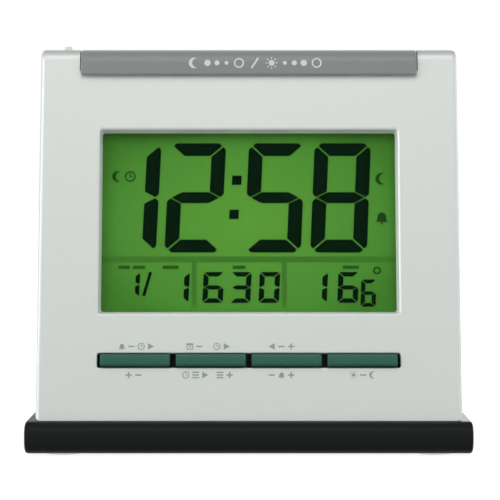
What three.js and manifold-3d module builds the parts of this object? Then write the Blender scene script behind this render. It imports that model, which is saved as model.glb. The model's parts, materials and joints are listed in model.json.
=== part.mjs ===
// A desk alarm clock: a leaning, flat-faced housing in two halves on a low plinth.
// Millimetres. X runs to the right seen from the front, Y runs backwards, Z runs up.
// The origin is on the table, under the middle of the plinth.
import * as THREE from "three";
import { ConvexGeometry } from "three/addons/geometries/ConvexGeometry.js";
import { mergeVertices } from "three/addons/utils/BufferGeometryUtils.js";
import Module from "manifold-3d";

const wasm = await Module();
wasm.setup();

// Fits shared by all pieces
const clearance = 0.3;
const overlap = 0.4;
const seamGap = 0.3;
const past = 1;

// Facet counts
const screwSides = 10;
const smallSides = 12;
const rodSides = 14;
const wellSides = 18;
const discSides = 24;
const scoopSides = 40;
const curveSteps = 9;
const edgeSteps = 4;

// Housing
const housingWidth = 110;
const housingHeight = 96.5;
const faceLean = 12;
const wall = 2.2;
const sideEdgeRadius = 1.2;
const topFrontRadius = 3.5;
const topRearRadius = 10;
const seamBehindBoard = 2;
const lipThickness = 0.9;
const lipReach = 2;
const lipEndGap = 4;
const baySeamGap = 0.18;

// Plinth and feet
const plinthHeight = 8.3;
const plinthSideReach = 2.5;
const plinthFrontReach = 5;
const plinthRearReach = 2;
const plinthNoseRadius = 3.9;
const plinthRearRadius = 2;
const plinthEndRadius = 0.8;
const plinthWall = 2;
const plinthRib = 1.5;
const plinthPocketColumns = 9;
const plinthPocketRows = 2;
const footRadius = 5;
const footHeight = 2;
const footStand = 0.5;
const footInset = 9.5;
const footChamfer = 0.4;
const footFit = 0.2;
const footBossWall = 1.5;
const plinthScrewSideInset = 19;
const plinthScrewFrontInset = 8;
const plinthScrewRearInset = 11;
const plinthScrewSeat = 3;
const plinthWellWall = 1.2;
const plinthBossHeight = 6;
const plinthBossWall = 1.7;
const plinthPilotEnd = 1.2;

// Window and display stack
const windowBevel = 0.7;
const windowCornerRadius = 0.6;
const lensMargin = 1.8;
const lensThickness = 1.5;
const lensRimWall = 1.2;
const lcdMargin = 2.6;
const glassThickness = 1.4;
const glassLedge = 2.6;
const guideThickness = 3;
const guideMargin = 0.4;
const reflectorThickness = 0.4;
const frameWall = 1.2;
const frameCornerRadius = 1;
const ledWidth = 1.6;
const ledHeight = 4;
const ledInset = 0.5;
const zebraHeight = 2;
const zebraEndGap = 1;

// Main board, its screws and the parts on its back
const boardThickness = 1.6;
const boardCornerRadius = 1;
const boardMargin = 2.2;
const boardSideGap = 0.4;
const boardTopGap = 2;
const boardBottomHeight = 8;
const boardScrewInset = 3;
const boardBossRadius = 2.5;
const chipRadius = 6.5;
const chipHeight = 1.8;
const crystalRadius = 1.2;
const crystalLength = 6;
const crystalX = 13;
const capacitorRadius = 2.5;
const capacitorHeight = 7;
const capacitorX = -20;
const canEdge = 0.4;
const thermistorRadius = 1.4;
const thermistorHeight = 4.1;
const thermistorInset = 6;

// Row of keys under the window
const keyCount = 4;
const keySlotHeight = 3.75;
const keySlotCentreHeight = 15.65;
const keySlotCornerRadius = 0.4;
const keyGap = 1.5;
const keyProud = 1.3;
const keyCrown = 0.75;
const keyTravel = 0.8;
const keyFlange = 0.9;
const keyFlangeThickness = 1.2;
const keyNeckInset = 1;
const keyNeckHeight = 2;
const keyNeckReach = 2;
const keyPlungerRadius = 1.6;
const keyGuideRib = 1.2;
const padBaseThickness = 1.1;
const padCornerRadius = 1.5;
const padDomeHeight = 1.8;
const padDomeRadius = 3.2;
const padHeight = 7.4;
const padFrameGap = 4.5;

// Snooze bar over the top front edge
const snoozeSideInset = 10.65;
const snoozeLipHeight = 7.1;
const snoozeTopDepth = 9.5;
const snoozeLipThickness = 1.1;
const snoozeThickness = 1.8;
const snoozeEdgeRadius = 4.5;
const snoozeRearRadius = 0.5;
const snoozeEndRadius = 0.4;
const snoozeTravel = 0.8;
const snoozeTongueThickness = 1.4;
const snoozeBarbReach = 0.8;
const snoozeBarbHeight = 1.8;
const snoozeBarbLand = 0.6;
const snoozePocketBridge = 1.2;
const snoozeCatchInset = 7.35;
const snoozeCatchWidth = 6;
const snoozeHookReach = 2.2;
const snoozeHookNeck = 1.3;
const snoozeRibThickness = 1.6;
const snoozeRibDepth = 2;
const snoozePlungerRadius = 2;
const domeHeight = 4.9;
const domeRadius = 4.2;
const domeRim = 0.8;
const domeEdgeGap = 0.2;

// Small board under the roof, with the alarm switch
const switchBoardDrop = 8.5;
const switchBoardFrontGap = 2.7;
const switchBoardEnd = 4;
const switchScrewInset = 7;
const switchBossRadius = 2.3;
const alarmSwitchInset = 6.9;
const alarmKnobWidth = 2;
const alarmKnobLength = 3.6;
const alarmKnobRadius = 0.5;
const alarmKnobProud = 1;
const alarmKnobTravel = 3;
const alarmKnobFrontGap = 4.7;
const alarmGripWidth = 0.8;
const alarmGripDepth = 0.3;
const alarmCoverWidth = 4.4;
const alarmCoverLength = 8.4;
const alarmCoverThickness = 1.1;
const alarmBodyWidth = 3.6;
const alarmBodyHeight = 4.8;
const alarmBodyEnd = 0.8;
const alarmChannelDepth = 2;

// Screws
const screwShankRadius = 1.3;
const screwHeadRadius = 2.9;
const screwHeadHeight = 1.8;
const smallShankRadius = 1;
const smallHeadRadius = 2;
const smallHeadHeight = 1.3;
const screwHeadEdge = 0.45;
const screwGrip = 8;
const screwEndGap = 2;
const recessArm = 1.8;
const recessWidth = 0.7;
const recessDepth = 1;
const casePostRadius = 2.7;
const casePostLowHeight = 14;
const casePostTopInset = 20.7;
const wellWall = 0.9;
const wellFloor = 2;

// Battery bay, cells and contacts
const cellDiameter = 14.5;
const cellLength = 50.5;
const cellNubLength = 1.1;
const cellNubRadius = 2.7;
const cellEdgeRadius = 0.8;
const cellDoorGap = 0.6;
const bayWall = 1.4;
const bayFloorHeight = 5.2;
const bayShelf = 1.2;
const bayShelfReach = 4.6;
const springLength = 5.5;
const springWireRadius = 0.4;
const springBaseRadius = 4.1;
const springTipRadius = 2.7;
const springTurns = 4;
const springStepsPerTurn = 8;
const springSides = 5;
const contactThickness = 0.4;
const contactWidth = 9;
const contactTabWidth = 2;
const contactTabReach = 3.6;
const contactRail = 1;

// Battery door
const doorThickness = 2;
const doorCornerRadius = 0.8;
const doorTabX = 18;
const doorTabWidth = 6;
const doorTabThickness = 1.4;
const doorTabDrop = 1.7;
const doorLatchWidth = 14;
const doorLatchHeight = 9;
const doorLatchSlot = 1;
const doorGripWidth = 8;
const doorGripHeight = 0.8;
const doorGripDepth = 0.4;
const doorGripInset = 2;
const doorGripPitch = 1.6;
const doorGripCount = 3;
const scoopRadius = 9;
const scoopDepth = 1.3;

// Sounder and its grille in the rear wall
const sounderBelowRoof = 24.8;
const sounderRadius = 13.5;
const sounderThickness = 0.5;
const sounderRingWall = 1.2;
const sounderRingReach = 1;
const sounderLedge = 1.6;
const sounderLedgeWidth = 2;
const grilleHoleRadius = 1.1;
const grilleHoleSides = 8;
const grillePitch = 4;
const grilleRings = 2;

// Leads and ribbon
const leadRadius = 0.6;
const leadSpacing = 6;
const leadAside = 3;
const leadStraight = 2;
const leadSteps = 14;
const leadSides = 6;
const batteryLeadHeights = [22, 34];
const sounderLeadDrop = 3;
const ribbonWidth = 8;
const ribbonThickness = 0.5;
const ribbonLap = 5;
const ribbonBend = 0.6;

// Places worked out from the sizes
const lean = THREE.MathUtils.degToRad(faceLean);
const plinthBottom = footStand;
const plinthTop = plinthBottom + plinthHeight;
const housingTop = plinthTop + housingHeight;
const roof = housingTop - wall;
const floorTop = plinthTop + wall;
const faceHeight = housingHeight / Math.cos(lean);
const innerHalfWidth = housingWidth / 2 - wall;

const lensFront = wall + clearance;
const lensBack = lensFront + lensThickness;
const lcdFront = lensBack + clearance;
const lcdBack = lcdFront + 2 * glassThickness;
const guideFront = lcdBack + clearance;
const guideBack = guideFront + guideThickness;
const reflectorFront = guideBack + clearance;
const reflectorBack = reflectorFront + reflectorThickness;
const boardFront = reflectorBack + clearance;
const boardBack = boardFront + boardThickness;
const seamFront = boardBack + seamBehindBoard;
const seamBack = seamFront + seamGap;

const bayFloor = plinthTop + bayFloorHeight;
const cellRadius = cellDiameter / 2;
const lowerCellZ = bayFloor + clearance + cellRadius;
const shelfBottom = lowerCellZ + cellRadius + clearance;
const upperCellZ = shelfBottom + bayShelf + clearance + cellRadius;
const bayRoof = upperCellZ + cellRadius + clearance;
const bayTopRise = bayRoof + bayWall - plinthTop;
const seamRun = bayTopRise * Math.tan(lean) + seamBack / Math.cos(lean);
const bayDepth = clearance + cellDiameter + cellDoorGap;
const housingDepth = seamRun + baySeamGap + bayWall + bayDepth + clearance + doorThickness;

const plinthWidth = housingWidth + 2 * plinthSideReach;
const plinthDepth = plinthFrontReach + housingDepth + plinthRearReach;
const plinthScrewX = housingWidth / 2 - plinthScrewSideInset;
const faceFootY = -plinthDepth / 2 + plinthFrontReach;
const rearY = faceFootY + housingDepth;
const rearInnerY = rearY - wall;
const faceFrame = new THREE.Matrix4().makeRotationX(-lean).setPosition(0, faceFootY, plinthTop);

const bayRearY = rearY - doorThickness - clearance;
const bayFrontY = bayRearY - bayDepth;
const cellY = bayFrontY + clearance + cellRadius;
const contactFace = (cellLength + springLength + clearance) / 2 + clearance / 2;
const contactBack = contactFace + contactThickness;
const bayHalfWidth = contactBack + clearance;
const cellShift = contactFace - clearance - cellLength / 2;
const doorHalfWidth = bayHalfWidth + bayWall - clearance;
const doorBottom = bayFloor - bayWall / 2;
const doorTop = bayRoof + bayWall / 2;
const leadX = contactBack + contactTabReach + clearance + leadAside;
const sounderZ = roof - sounderBelowRoof;

const lipRoom = lipThickness + 2 * clearance;
const casePostX = innerHalfWidth - lipRoom - casePostRadius;
const casePostHeights = [casePostLowHeight, faceHeight - casePostTopInset];
const wellRadius = screwHeadRadius + clearance;

const topFrontY = faceY(housingTop, 0);
const snoozeWidth = housingWidth - 2 * snoozeSideInset;
const snoozeRearY = topFrontY + snoozeTopDepth;
const snoozeLipBottom = faceHeight - snoozeLipHeight;
const snoozeLipGap = clearance + snoozeTravel * Math.sin(lean);
const snoozeProud = snoozeLipGap + snoozeLipThickness;
const snoozeInnerRadius = snoozeEdgeRadius - snoozeThickness;
const snoozeSillDrop = snoozeThickness + snoozeInnerRadius + snoozeTravel + clearance;
const snoozeSill = faceHeight - snoozeSillDrop / Math.cos(lean);
const snoozePocketTop = snoozeSill - snoozePocketBridge;
const snoozeBarbTop = snoozePocketTop - clearance;
const snoozeBarbBottom = snoozeBarbTop - snoozeBarbHeight;
const snoozePocketBottom = snoozeBarbBottom - snoozeTravel - clearance;
const snoozeCatchX = snoozeWidth / 2 - snoozeCatchInset;
const switchBoardScrewX = snoozeCatchX - switchScrewInset;
const switchBoardTop = roof - switchBoardDrop;
const switchBoardBottom = switchBoardTop - boardThickness;
const switchBoardFrontY = faceY(switchBoardTop, wall) + switchBoardFrontGap;
const switchBossY = snoozeRearY + clearance + switchBossRadius + clearance;
const switchBoardRearY = switchBossY + switchBossRadius;
const domeY = switchBoardFrontY + domeEdgeGap + domeRadius;
const alarmSwitchX = -housingWidth / 2 + alarmSwitchInset;
const alarmKnobY = faceY(roof, wall) + alarmKnobFrontGap;

const boardHalfWidth = casePostX - casePostRadius - boardSideGap;
const boardScrewX = boardHalfWidth - boardScrewInset;
const boardTopZ = switchBoardBottom - boardTopGap;
const boardTopHeight = (boardTopZ - plinthTop + boardFront * Math.sin(lean)) / Math.cos(lean);
const boardScrewLowHeight = boardBottomHeight + boardScrewInset;
const boardScrewHighHeight = boardTopHeight - boardBossRadius;
const frameOuterWidth = 2 * (boardHalfWidth - boardMargin);
const frameInnerWidth = frameOuterWidth - 2 * frameWall;
const lcdWidth = frameInnerWidth - 2 * clearance;
const windowWidth = lcdWidth - 2 * lcdMargin;
const frameTop = boardScrewHighHeight - boardBossRadius - clearance;
const frameBottom = keySlotCentreHeight + padHeight / 2 + padFrameGap;
const windowCentreHeight = (frameTop + frameBottom) / 2;
const frameOuterHeight = frameTop - frameBottom;
const frameInnerHeight = frameOuterHeight - 2 * frameWall;
const lcdHeight = frameInnerHeight - 2 * clearance;
const windowHeight = lcdHeight - 2 * lcdMargin;

const keySlotWidth = windowWidth;
const keyPitch = keySlotWidth / keyCount;
const keyWidth = keyPitch - keyGap;
const keyHeight = keySlotHeight - 2 * clearance;
const padDomeFront = boardFront - clearance - padBaseThickness - padDomeHeight;

// Y of a point at height z that lies a given depth behind the leaning face
function faceY(z, depth) {
  return faceFootY + (z - plinthTop) * Math.tan(lean) + depth / Math.cos(lean);
}

// World (y, z) of a point given by its depth behind the face and its height up the face
function facePoint(depth, height) {
  const point = new THREE.Vector3(0, depth, height).applyMatrix4(faceFrame);
  return [point.y, point.z];
}

// Outline from corners [u, v, radius]; a corner without a radius stays sharp
function outline(corners, segments = 5) {
  const points = [];
  corners.forEach(([u, v, radius], i) => {
    const corner = new THREE.Vector2(u, v);
    if (!radius) {
      points.push(corner);
      return;
    }
    const before = corners[(i + corners.length - 1) % corners.length];
    const after = corners[(i + 1) % corners.length];
    const toBefore = new THREE.Vector2(before[0] - u, before[1] - v).normalize();
    const toAfter = new THREE.Vector2(after[0] - u, after[1] - v).normalize();
    const half = Math.acos(toBefore.dot(toAfter)) / 2;
    const middle = toBefore.clone().add(toAfter).normalize();
    const centre = corner.clone().addScaledVector(middle, radius / Math.sin(half));
    const start = corner.clone().addScaledVector(toBefore, radius / Math.tan(half)).sub(centre);
    const turn = Math.sign(toBefore.cross(toAfter)) * (Math.PI - 2 * half);
    for (let k = 0; k <= segments; k++) {
      const arm = start.clone().rotateAround(new THREE.Vector2(), (-turn * k) / segments);
      points.push(arm.add(centre));
    }
  });
  return new THREE.Shape(points);
}

function rectangle(width, height, u = 0, v = 0, radius = 0) {
  const right = u + width / 2;
  const top = v + height / 2;
  return outline(
    [
      [u - width / 2, v - height / 2, radius],
      [right, v - height / 2, radius],
      [right, top, radius],
      [u - width / 2, top, radius],
    ],
    3,
  );
}

// Straight extrusion from 0 to length along Z, its end edges rounded by edge
function extrude(shape, length, edge = 0, steps = 2) {
  const geometry = new THREE.ExtrudeGeometry(shape, {
    depth: length - 2 * edge,
    bevelEnabled: edge > 0,
    bevelThickness: edge,
    bevelSize: edge,
    bevelOffset: -edge,
    bevelSegments: steps,
    curveSegments: 4,
  });
  return geometry.translate(0, 0, edge);
}

// An outline in (y, z) run along X
function alongX(shape, x0, x1, edge = 0, steps = 2) {
  const basis = new THREE.Matrix4().makeBasis(
    new THREE.Vector3(0, 1, 0),
    new THREE.Vector3(0, 0, 1),
    new THREE.Vector3(1, 0, 0),
  );
  return extrude(shape, x1 - x0, edge, steps).applyMatrix4(basis).translate(x0, 0, 0);
}

// An outline in (x, z) run along Y
function alongY(shape, y0, y1, edge = 0) {
  return extrude(shape, y1 - y0, edge).rotateX(Math.PI / 2).translate(0, y1, 0);
}

// An outline in (x, y) run along Z
function alongZ(shape, z0, z1, edge = 0) {
  return extrude(shape, z1 - z0, edge).translate(0, 0, z0);
}

function block([x0, x1], [y0, y1], [z0, z1]) {
  const box = new THREE.BoxGeometry(x1 - x0, y1 - y0, z1 - z0);
  return box.translate((x0 + x1) / 2, (y0 + y1) / 2, (z0 + z1) / 2);
}

function rodY(radius, y0, y1, x, z, sides = rodSides) {
  return new THREE.CylinderGeometry(radius, radius, y1 - y0, sides).translate(x, (y0 + y1) / 2, z);
}

function rodZ(radius, z0, z1, x, y, sides = rodSides) {
  const rod = new THREE.CylinderGeometry(radius, radius, z1 - z0, sides).rotateX(Math.PI / 2);
  return rod.translate(x, y, (z0 + z1) / 2);
}

function rodX(radius, x0, x1, y, z, sides = rodSides) {
  const rod = new THREE.CylinderGeometry(radius, radius, x1 - x0, sides).rotateZ(-Math.PI / 2);
  return rod.translate((x0 + x1) / 2, y, z);
}

// Profile of [radius, height] points turned about Y
function revolve(profile, sides) {
  return new THREE.LatheGeometry(profile.map(([r, h]) => new THREE.Vector2(r, h)), sides);
}

function inFace(geometry) {
  return geometry.applyMatrix4(faceFrame);
}

// The same surface with shared corners, no collapsed triangles, and faces pointing out
function closed(geometry) {
  const bare = geometry.clone();
  bare.deleteAttribute("normal");
  bare.deleteAttribute("uv");
  const merged = mergeVertices(bare, 1e-4);
  const kept = [];
  const { array } = merged.index;
  for (let i = 0; i < array.length; i += 3) {
    const [a, b, c] = [array[i], array[i + 1], array[i + 2]];
    if (a !== b && b !== c && c !== a) kept.push(a, b, c);
  }
  const place = merged.attributes.position;
  const corner = (i) => new THREE.Vector3().fromBufferAttribute(place, i);
  let volume = 0;
  for (let i = 0; i < kept.length; i += 3) {
    volume += corner(kept[i]).dot(corner(kept[i + 1]).cross(corner(kept[i + 2])));
  }
  merged.setIndex(volume < 0 ? kept.reverse() : kept);
  return merged;
}

function solid(geometry) {
  const mesh = closed(geometry);
  const vertProperties = new Float32Array(mesh.attributes.position.array);
  const triVerts = new Uint32Array(mesh.index.array);
  return new wasm.Manifold(new wasm.Mesh({ numProp: 3, vertProperties, triVerts }));
}

// Starts from one geometry, joins some, then cuts others away
function shaped(base, joined = [], cuts = []) {
  let body = solid(base);
  for (const piece of joined) body = body.add(solid(piece));
  for (const piece of cuts) body = body.subtract(solid(piece));
  return fromSolid(body);
}

function fromSolid(body) {
  const mesh = body.getMesh();
  const geometry = new THREE.BufferGeometry();
  geometry.setAttribute("position", new THREE.BufferAttribute(mesh.vertProperties, 3));
  geometry.setIndex(new THREE.BufferAttribute(mesh.triVerts, 1));
  return geometry;
}

// Tube through points, as a lead or a wire
function tube(curve, radius, steps, sides) {
  const section = new THREE.Shape();
  for (let k = 0; k < sides; k++) {
    const angle = (2 * Math.PI * k) / sides;
    const place = [radius * Math.cos(angle), radius * Math.sin(angle)];
    if (k === 0) section.moveTo(...place);
    else section.lineTo(...place);
  }
  return new THREE.ExtrudeGeometry(section, { extrudePath: curve, steps, bevelEnabled: false });
}

// Materials: colour, roughness and metalness of each finish
function finish(color, roughness, metalness = 0) {
  return new THREE.MeshStandardMaterial({ color, roughness, metalness });
}

const finishes = {
  silverPlastic: () => finish(0xd4dad6, 0.42, 0.1),
  greyPlastic: () => finish(0x8f9492, 0.45),
  blackPlastic: () => finish(0x141414, 0.4),
  greenPlastic: () => finish(0x2f5545, 0.35),
  whitePlastic: () => finish(0xe8e8e2, 0.5),
  clearPlastic: () => finish(0xdfeee2, 0.05),
  displayGlass: () => finish(0x5a9b37, 0.25),
  lightGuide: () => finish(0xd9f0c0, 0.3),
  whiteFilm: () => finish(0xf4f4f0, 0.6),
  boardResin: () => finish(0x1f5d38, 0.45),
  blackResin: () => finish(0x0f0f10, 0.35),
  siliconeRubber: () => finish(0xb9bcb8, 0.7),
  blackRubber: () => finish(0x1a1a1b, 0.85),
  plainSteel: () => finish(0xb8babc, 0.35, 1),
  nickelPlate: () => finish(0xc9c8c2, 0.28, 1),
  brassSheet: () => finish(0xc8a24c, 0.35, 1),
  cellWrap: () => finish(0x2b2f33, 0.3, 0.2),
  redSleeve: () => finish(0xb3201c, 0.5),
  blackSleeve: () => finish(0x18181a, 0.5),
  greyRibbon: () => finish(0xa9adb0, 0.55),
};

const clock = new THREE.Group();
const facePieces = new THREE.Group();
facePieces.position.set(0, faceFootY, plinthTop);
facePieces.rotation.x = -lean;
clock.add(facePieces);

function part(name, geometry, material, parent = clock) {
  const mesh = new THREE.Mesh(closed(geometry), material);
  mesh.name = name;
  mesh.geometry.computeVertexNormals();
  parent.add(mesh);
  return mesh;
}

// Housing: side outline, shell and its two halves

function housingOutline(inset) {
  const bottom = plinthTop + inset;
  const top = housingTop - inset;
  return outline([
    [faceY(bottom, inset), bottom],
    [rearY - inset, bottom],
    [rearY - inset, top, topRearRadius - inset],
    [faceY(top, inset), top, Math.max(topFrontRadius - inset, 0.3)],
  ], curveSteps);
}

function housingBlock() {
  return alongX(housingOutline(0), -housingWidth / 2, housingWidth / 2, sideEdgeRadius, edgeSteps);
}

function housingShell() {
  const cavity = alongX(housingOutline(wall), -innerHalfWidth, innerHalfWidth);
  return solid(housingBlock()).subtract(solid(cavity));
}

// Everything between two depths behind the face
function faceSlice(depth0, depth1) {
  const reach = 2 * (housingWidth + housingHeight);
  return inFace(block([-reach, reach], [depth0, depth1], [-reach, reach]));
}

// The bevelled opening narrows from the face inwards
function windowCut() {
  const ring = (depth, width, height) =>
    rectangle(width, height, 0, windowCentreHeight, windowCornerRadius)
      .getPoints()
      .map((p) => new THREE.Vector3(p.x, depth, p.y));
  const slope = windowBevel / wall;
  const wider = 2 * slope * past;
  const narrower = wider + 2 * windowBevel;
  const outside = ring(-past, windowWidth + wider, windowHeight + wider);
  const inner = ring(wall + past, windowWidth - narrower, windowHeight - narrower);
  return inFace(new ConvexGeometry([...outside, ...inner]));
}

function keySlotCut() {
  const slot = rectangle(keySlotWidth, keySlotHeight, 0, keySlotCentreHeight, keySlotCornerRadius);
  return inFace(alongY(slot, -past, wall + past));
}

// Opens the top front edge for the snooze bar, down to a sill behind its lip,
// with two blind pockets inside the wall for the barbs of the tongues
function snoozeNotchCuts() {
  const high = housingTop + past;
  const opening = outline([
    facePoint(-past, snoozeSill),
    facePoint(wall + past, snoozeSill),
    [snoozeRearY + clearance, roof - past],
    [snoozeRearY + clearance, high],
    [faceY(high, -past), high],
  ]);
  const half = snoozeWidth / 2 + clearance;
  const pocketHalf = snoozeCatchWidth / 2 + clearance;
  const depth = [wall - snoozeBarbReach - clearance, wall + past];
  const pockets = [-snoozeCatchX, snoozeCatchX].map((x) =>
    inFace(block([x - pocketHalf, x + pocketHalf], depth, [snoozePocketBottom, snoozePocketTop])),
  );
  return [alongX(opening, -half, half), ...pockets];
}

function alarmSlotCut() {
  const x = [-1, 1].map((side) => alarmSwitchX + side * (alarmKnobWidth / 2 + clearance));
  const y = [
    alarmKnobY - alarmKnobLength / 2 - clearance,
    alarmKnobY + alarmKnobTravel + alarmKnobLength / 2 + clearance,
  ];
  return block(x, y, [roof - past, housingTop + past]);
}

function lensRim() {
  const width = windowWidth + 2 * lensMargin + 2 * clearance;
  const height = windowHeight + 2 * lensMargin + 2 * clearance;
  const rim = rectangle(
    width + 2 * lensRimWall,
    height + 2 * lensRimWall,
    0,
    windowCentreHeight,
    frameCornerRadius,
  );
  rim.holes.push(rectangle(width, height, 0, windowCentreHeight));
  return inFace(alongY(rim, wall - overlap, lensBack));
}

const boardScrewPlaces = [-1, 1].flatMap((side) =>
  [boardScrewLowHeight, boardScrewHighHeight].map((height) => [side * boardScrewX, height]),
);
const casePostPlaces = [-1, 1].flatMap((side) =>
  casePostHeights.map((height) => [side * casePostX, height]),
);

function keyGuideRibs() {
  const gap = keySlotHeight / 2 + keyFlange + clearance;
  return [-1, 1].map((side) => {
    const middle = keySlotCentreHeight + side * (gap + keyGuideRib / 2);
    const rib = [middle - keyGuideRib / 2, middle + keyGuideRib / 2];
    const depth = [wall - overlap, lensFront + keyFlangeThickness + keyTravel];
    return inFace(block([-keySlotWidth / 2, keySlotWidth / 2], depth, rib));
  });
}

function plinthScrewPlaces() {
  const rows = [faceFootY + plinthScrewFrontInset, rearY - plinthScrewRearInset];
  return rows.map((y) => [-plinthScrewX, plinthScrewX].map((x) => [x, y]));
}

function plinthBosses(places) {
  const top = floorTop + plinthBossHeight;
  const radius = screwShankRadius + plinthBossWall;
  const pilotTop = top - plinthPilotEnd;
  return {
    bosses: places.map(([x, y]) => rodZ(radius, floorTop - overlap, top, x, y)),
    pilots: places.map(([x, y]) =>
      rodZ(screwShankRadius + clearance, plinthTop - past, pilotTop, x, y, screwSides),
    ),
  };
}

function frontCase() {
  const { bosses, pilots } = plinthBosses(plinthScrewPlaces()[0]);
  const postBase = wall - overlap;
  const boardBossEnd = boardFront - clearance;
  const casePostEnd = seamFront - clearance;
  const boardBosses = boardScrewPlaces.map(([x, h]) =>
    inFace(rodY(boardBossRadius, postBase, boardBossEnd, x, h)),
  );
  const boardPilots = boardScrewPlaces.map(([x, h]) =>
    inFace(rodY(smallShankRadius + clearance, wall + past, boardBossEnd + past, x, h, screwSides)),
  );
  const casePosts = casePostPlaces.map(([x, h]) =>
    inFace(rodY(casePostRadius, postBase, casePostEnd, x, h)),
  );
  const casePilots = casePostPlaces.map(([x, h]) =>
    inFace(rodY(screwShankRadius + clearance, wall + past, casePostEnd + past, x, h, screwSides)),
  );
  const switchBosses = [-1, 1].map((side) =>
    rodZ(switchBossRadius, switchBoardTop, roof + overlap, side * switchBoardScrewX, switchBossY),
  );
  const switchPilots = [-1, 1].map((side) => {
    const x = side * switchBoardScrewX;
    const z = [switchBoardTop - past, roof - past];
    return rodZ(smallShankRadius + clearance, ...z, x, switchBossY, screwSides);
  });
  let body = housingShell().intersect(solid(faceSlice(-housingDepth, seamFront)));
  const joined = [
    lensRim(),
    ...keyGuideRibs(),
    ...bosses,
    ...boardBosses,
    ...casePosts,
    ...switchBosses,
  ];
  const cuts = [
    windowCut(),
    keySlotCut(),
    ...snoozeNotchCuts(),
    alarmSlotCut(),
    ...pilots,
    ...boardPilots,
    ...casePilots,
    ...switchPilots,
  ];
  for (const piece of joined) body = body.add(solid(piece));
  for (const piece of cuts) body = body.subtract(solid(piece));
  return fromSolid(body);
}

// Lips of the rear half that reach inside the front half along both sides and the floor
function seamLips() {
  const outside = innerHalfWidth - clearance;
  const inside = outside - lipThickness;
  const heights = [boardBottomHeight + lipEndGap, casePostHeights[1] + lipEndGap];
  const depth = [seamFront - lipReach, seamBack + lipReach];
  const sides = [-1, 1].flatMap((side) => {
    const across = (a, b) => [side * a, side * b].sort((p, q) => p - q);
    return [
      inFace(block(across(inside, outside), depth, heights)),
      inFace(block(across(inside, innerHalfWidth + overlap), [seamBack, depth[1]], heights)),
    ];
  });
  const low = floorTop + clearance;
  const high = low + lipThickness;
  const seamY = faceY(floorTop, seamBack);
  const half = casePostX - wellRadius - wellWall - lipEndGap;
  const tongue = block([-half, half], [seamY - lipReach, seamY + lipReach], [low, high]);
  const root = block([-half, half], [seamY + clearance, seamY + lipReach], [floorTop - overlap, high]);
  return [...sides, tongue, root];
}

// Battery bay: a box with a shelf between the cells and rails that hold the contacts
function batteryBay() {
  const half = bayHalfWidth + bayWall;
  const shell = block(
    [-half, half],
    [bayFrontY - bayWall, rearInnerY + overlap],
    [bayFloor - bayWall, bayRoof + bayWall],
  );
  const hollow = block(
    [-bayHalfWidth, bayHalfWidth],
    [bayFrontY, rearY],
    [bayFloor, bayRoof],
  );
  const shelf = block(
    [-contactFace + clearance, contactFace - clearance],
    [bayFrontY - overlap, bayFrontY + bayShelfReach],
    [shelfBottom, shelfBottom + bayShelf],
  );
  const rails = [-1, 1].flatMap((side) =>
    [-1, 1].map((end) => {
      const x = [contactFace - contactRail / 2, bayHalfWidth + overlap].map((v) => side * v);
      const near = cellY + end * (contactWidth / 2 + clearance);
      const y = [near, near + end * contactRail];
      const sorted = (pair) => pair.sort((a, b) => a - b);
      return block(sorted(x), sorted(y), [bayFloor - overlap, bayRoof + overlap]);
    }),
  );
  return { shell, hollow, inside: [shelf, ...rails] };
}

function contactTabSlots() {
  return [lowerCellZ, upperCellZ].map((z) =>
    block(
      [bayHalfWidth - past, bayHalfWidth + bayWall + past],
      [cellY - contactTabWidth / 2 - clearance, cellY + contactTabWidth / 2 + clearance],
      [z - contactThickness / 2 - clearance, z + contactThickness / 2 + clearance],
    ),
  );
}

// Opening for the door, the slots for its tabs and the finger scoop above it
function doorCuts() {
  const opening = block(
    [-doorHalfWidth - clearance, doorHalfWidth + clearance],
    [bayRearY, rearY + past],
    [doorBottom - clearance, doorTop + clearance],
  );
  const tabSlots = [-1, 1].map((side) => {
    const half = doorTabWidth / 2 + clearance;
    const front = rearInnerY - clearance - doorTabThickness - 2 * clearance;
    return block(
      [side * doorTabX - half, side * doorTabX + half],
      [front, rearInnerY],
      [bayFloor - bayWall - past, bayFloor + past],
    );
  });
  const scoopY = rearY + scoopRadius - scoopDepth;
  const half = doorLatchWidth / 2;
  const scoop = rodX(scoopRadius, -half, half, scoopY, doorTop, scoopSides);
  return [opening, ...tabSlots, scoop];
}

// Ring of places on a hexagonal grid, as a grille is drilled
function grillePlaces() {
  const places = [[0, 0]];
  for (let ring = 1; ring <= grilleRings; ring++) {
    for (let side = 0; side < 6; side++) {
      const from = new THREE.Vector2(ring * grillePitch, 0).rotateAround(
        new THREE.Vector2(),
        (side * Math.PI) / 3,
      );
      const to = from.clone().rotateAround(new THREE.Vector2(), Math.PI / 3);
      for (let k = 0; k < ring; k++) {
        const place = from.clone().lerp(to, k / ring);
        places.push([place.x, place.y]);
      }
    }
  }
  return places;
}

function sounderSeat() {
  const ledgeY = rearInnerY - sounderLedge;
  const front = ledgeY - clearance - sounderThickness - sounderRingReach;
  const outside = sounderRadius + clearance + sounderRingWall;
  return {
    ring: rodY(outside, front, rearInnerY + overlap, 0, sounderZ, discSides),
    socket: rodY(sounderRadius + clearance, front - past, ledgeY, 0, sounderZ, discSides),
    throat: rodY(sounderRadius - sounderLedgeWidth, ledgeY - past, rearInnerY, 0, sounderZ, discSides),
  };
}

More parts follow.
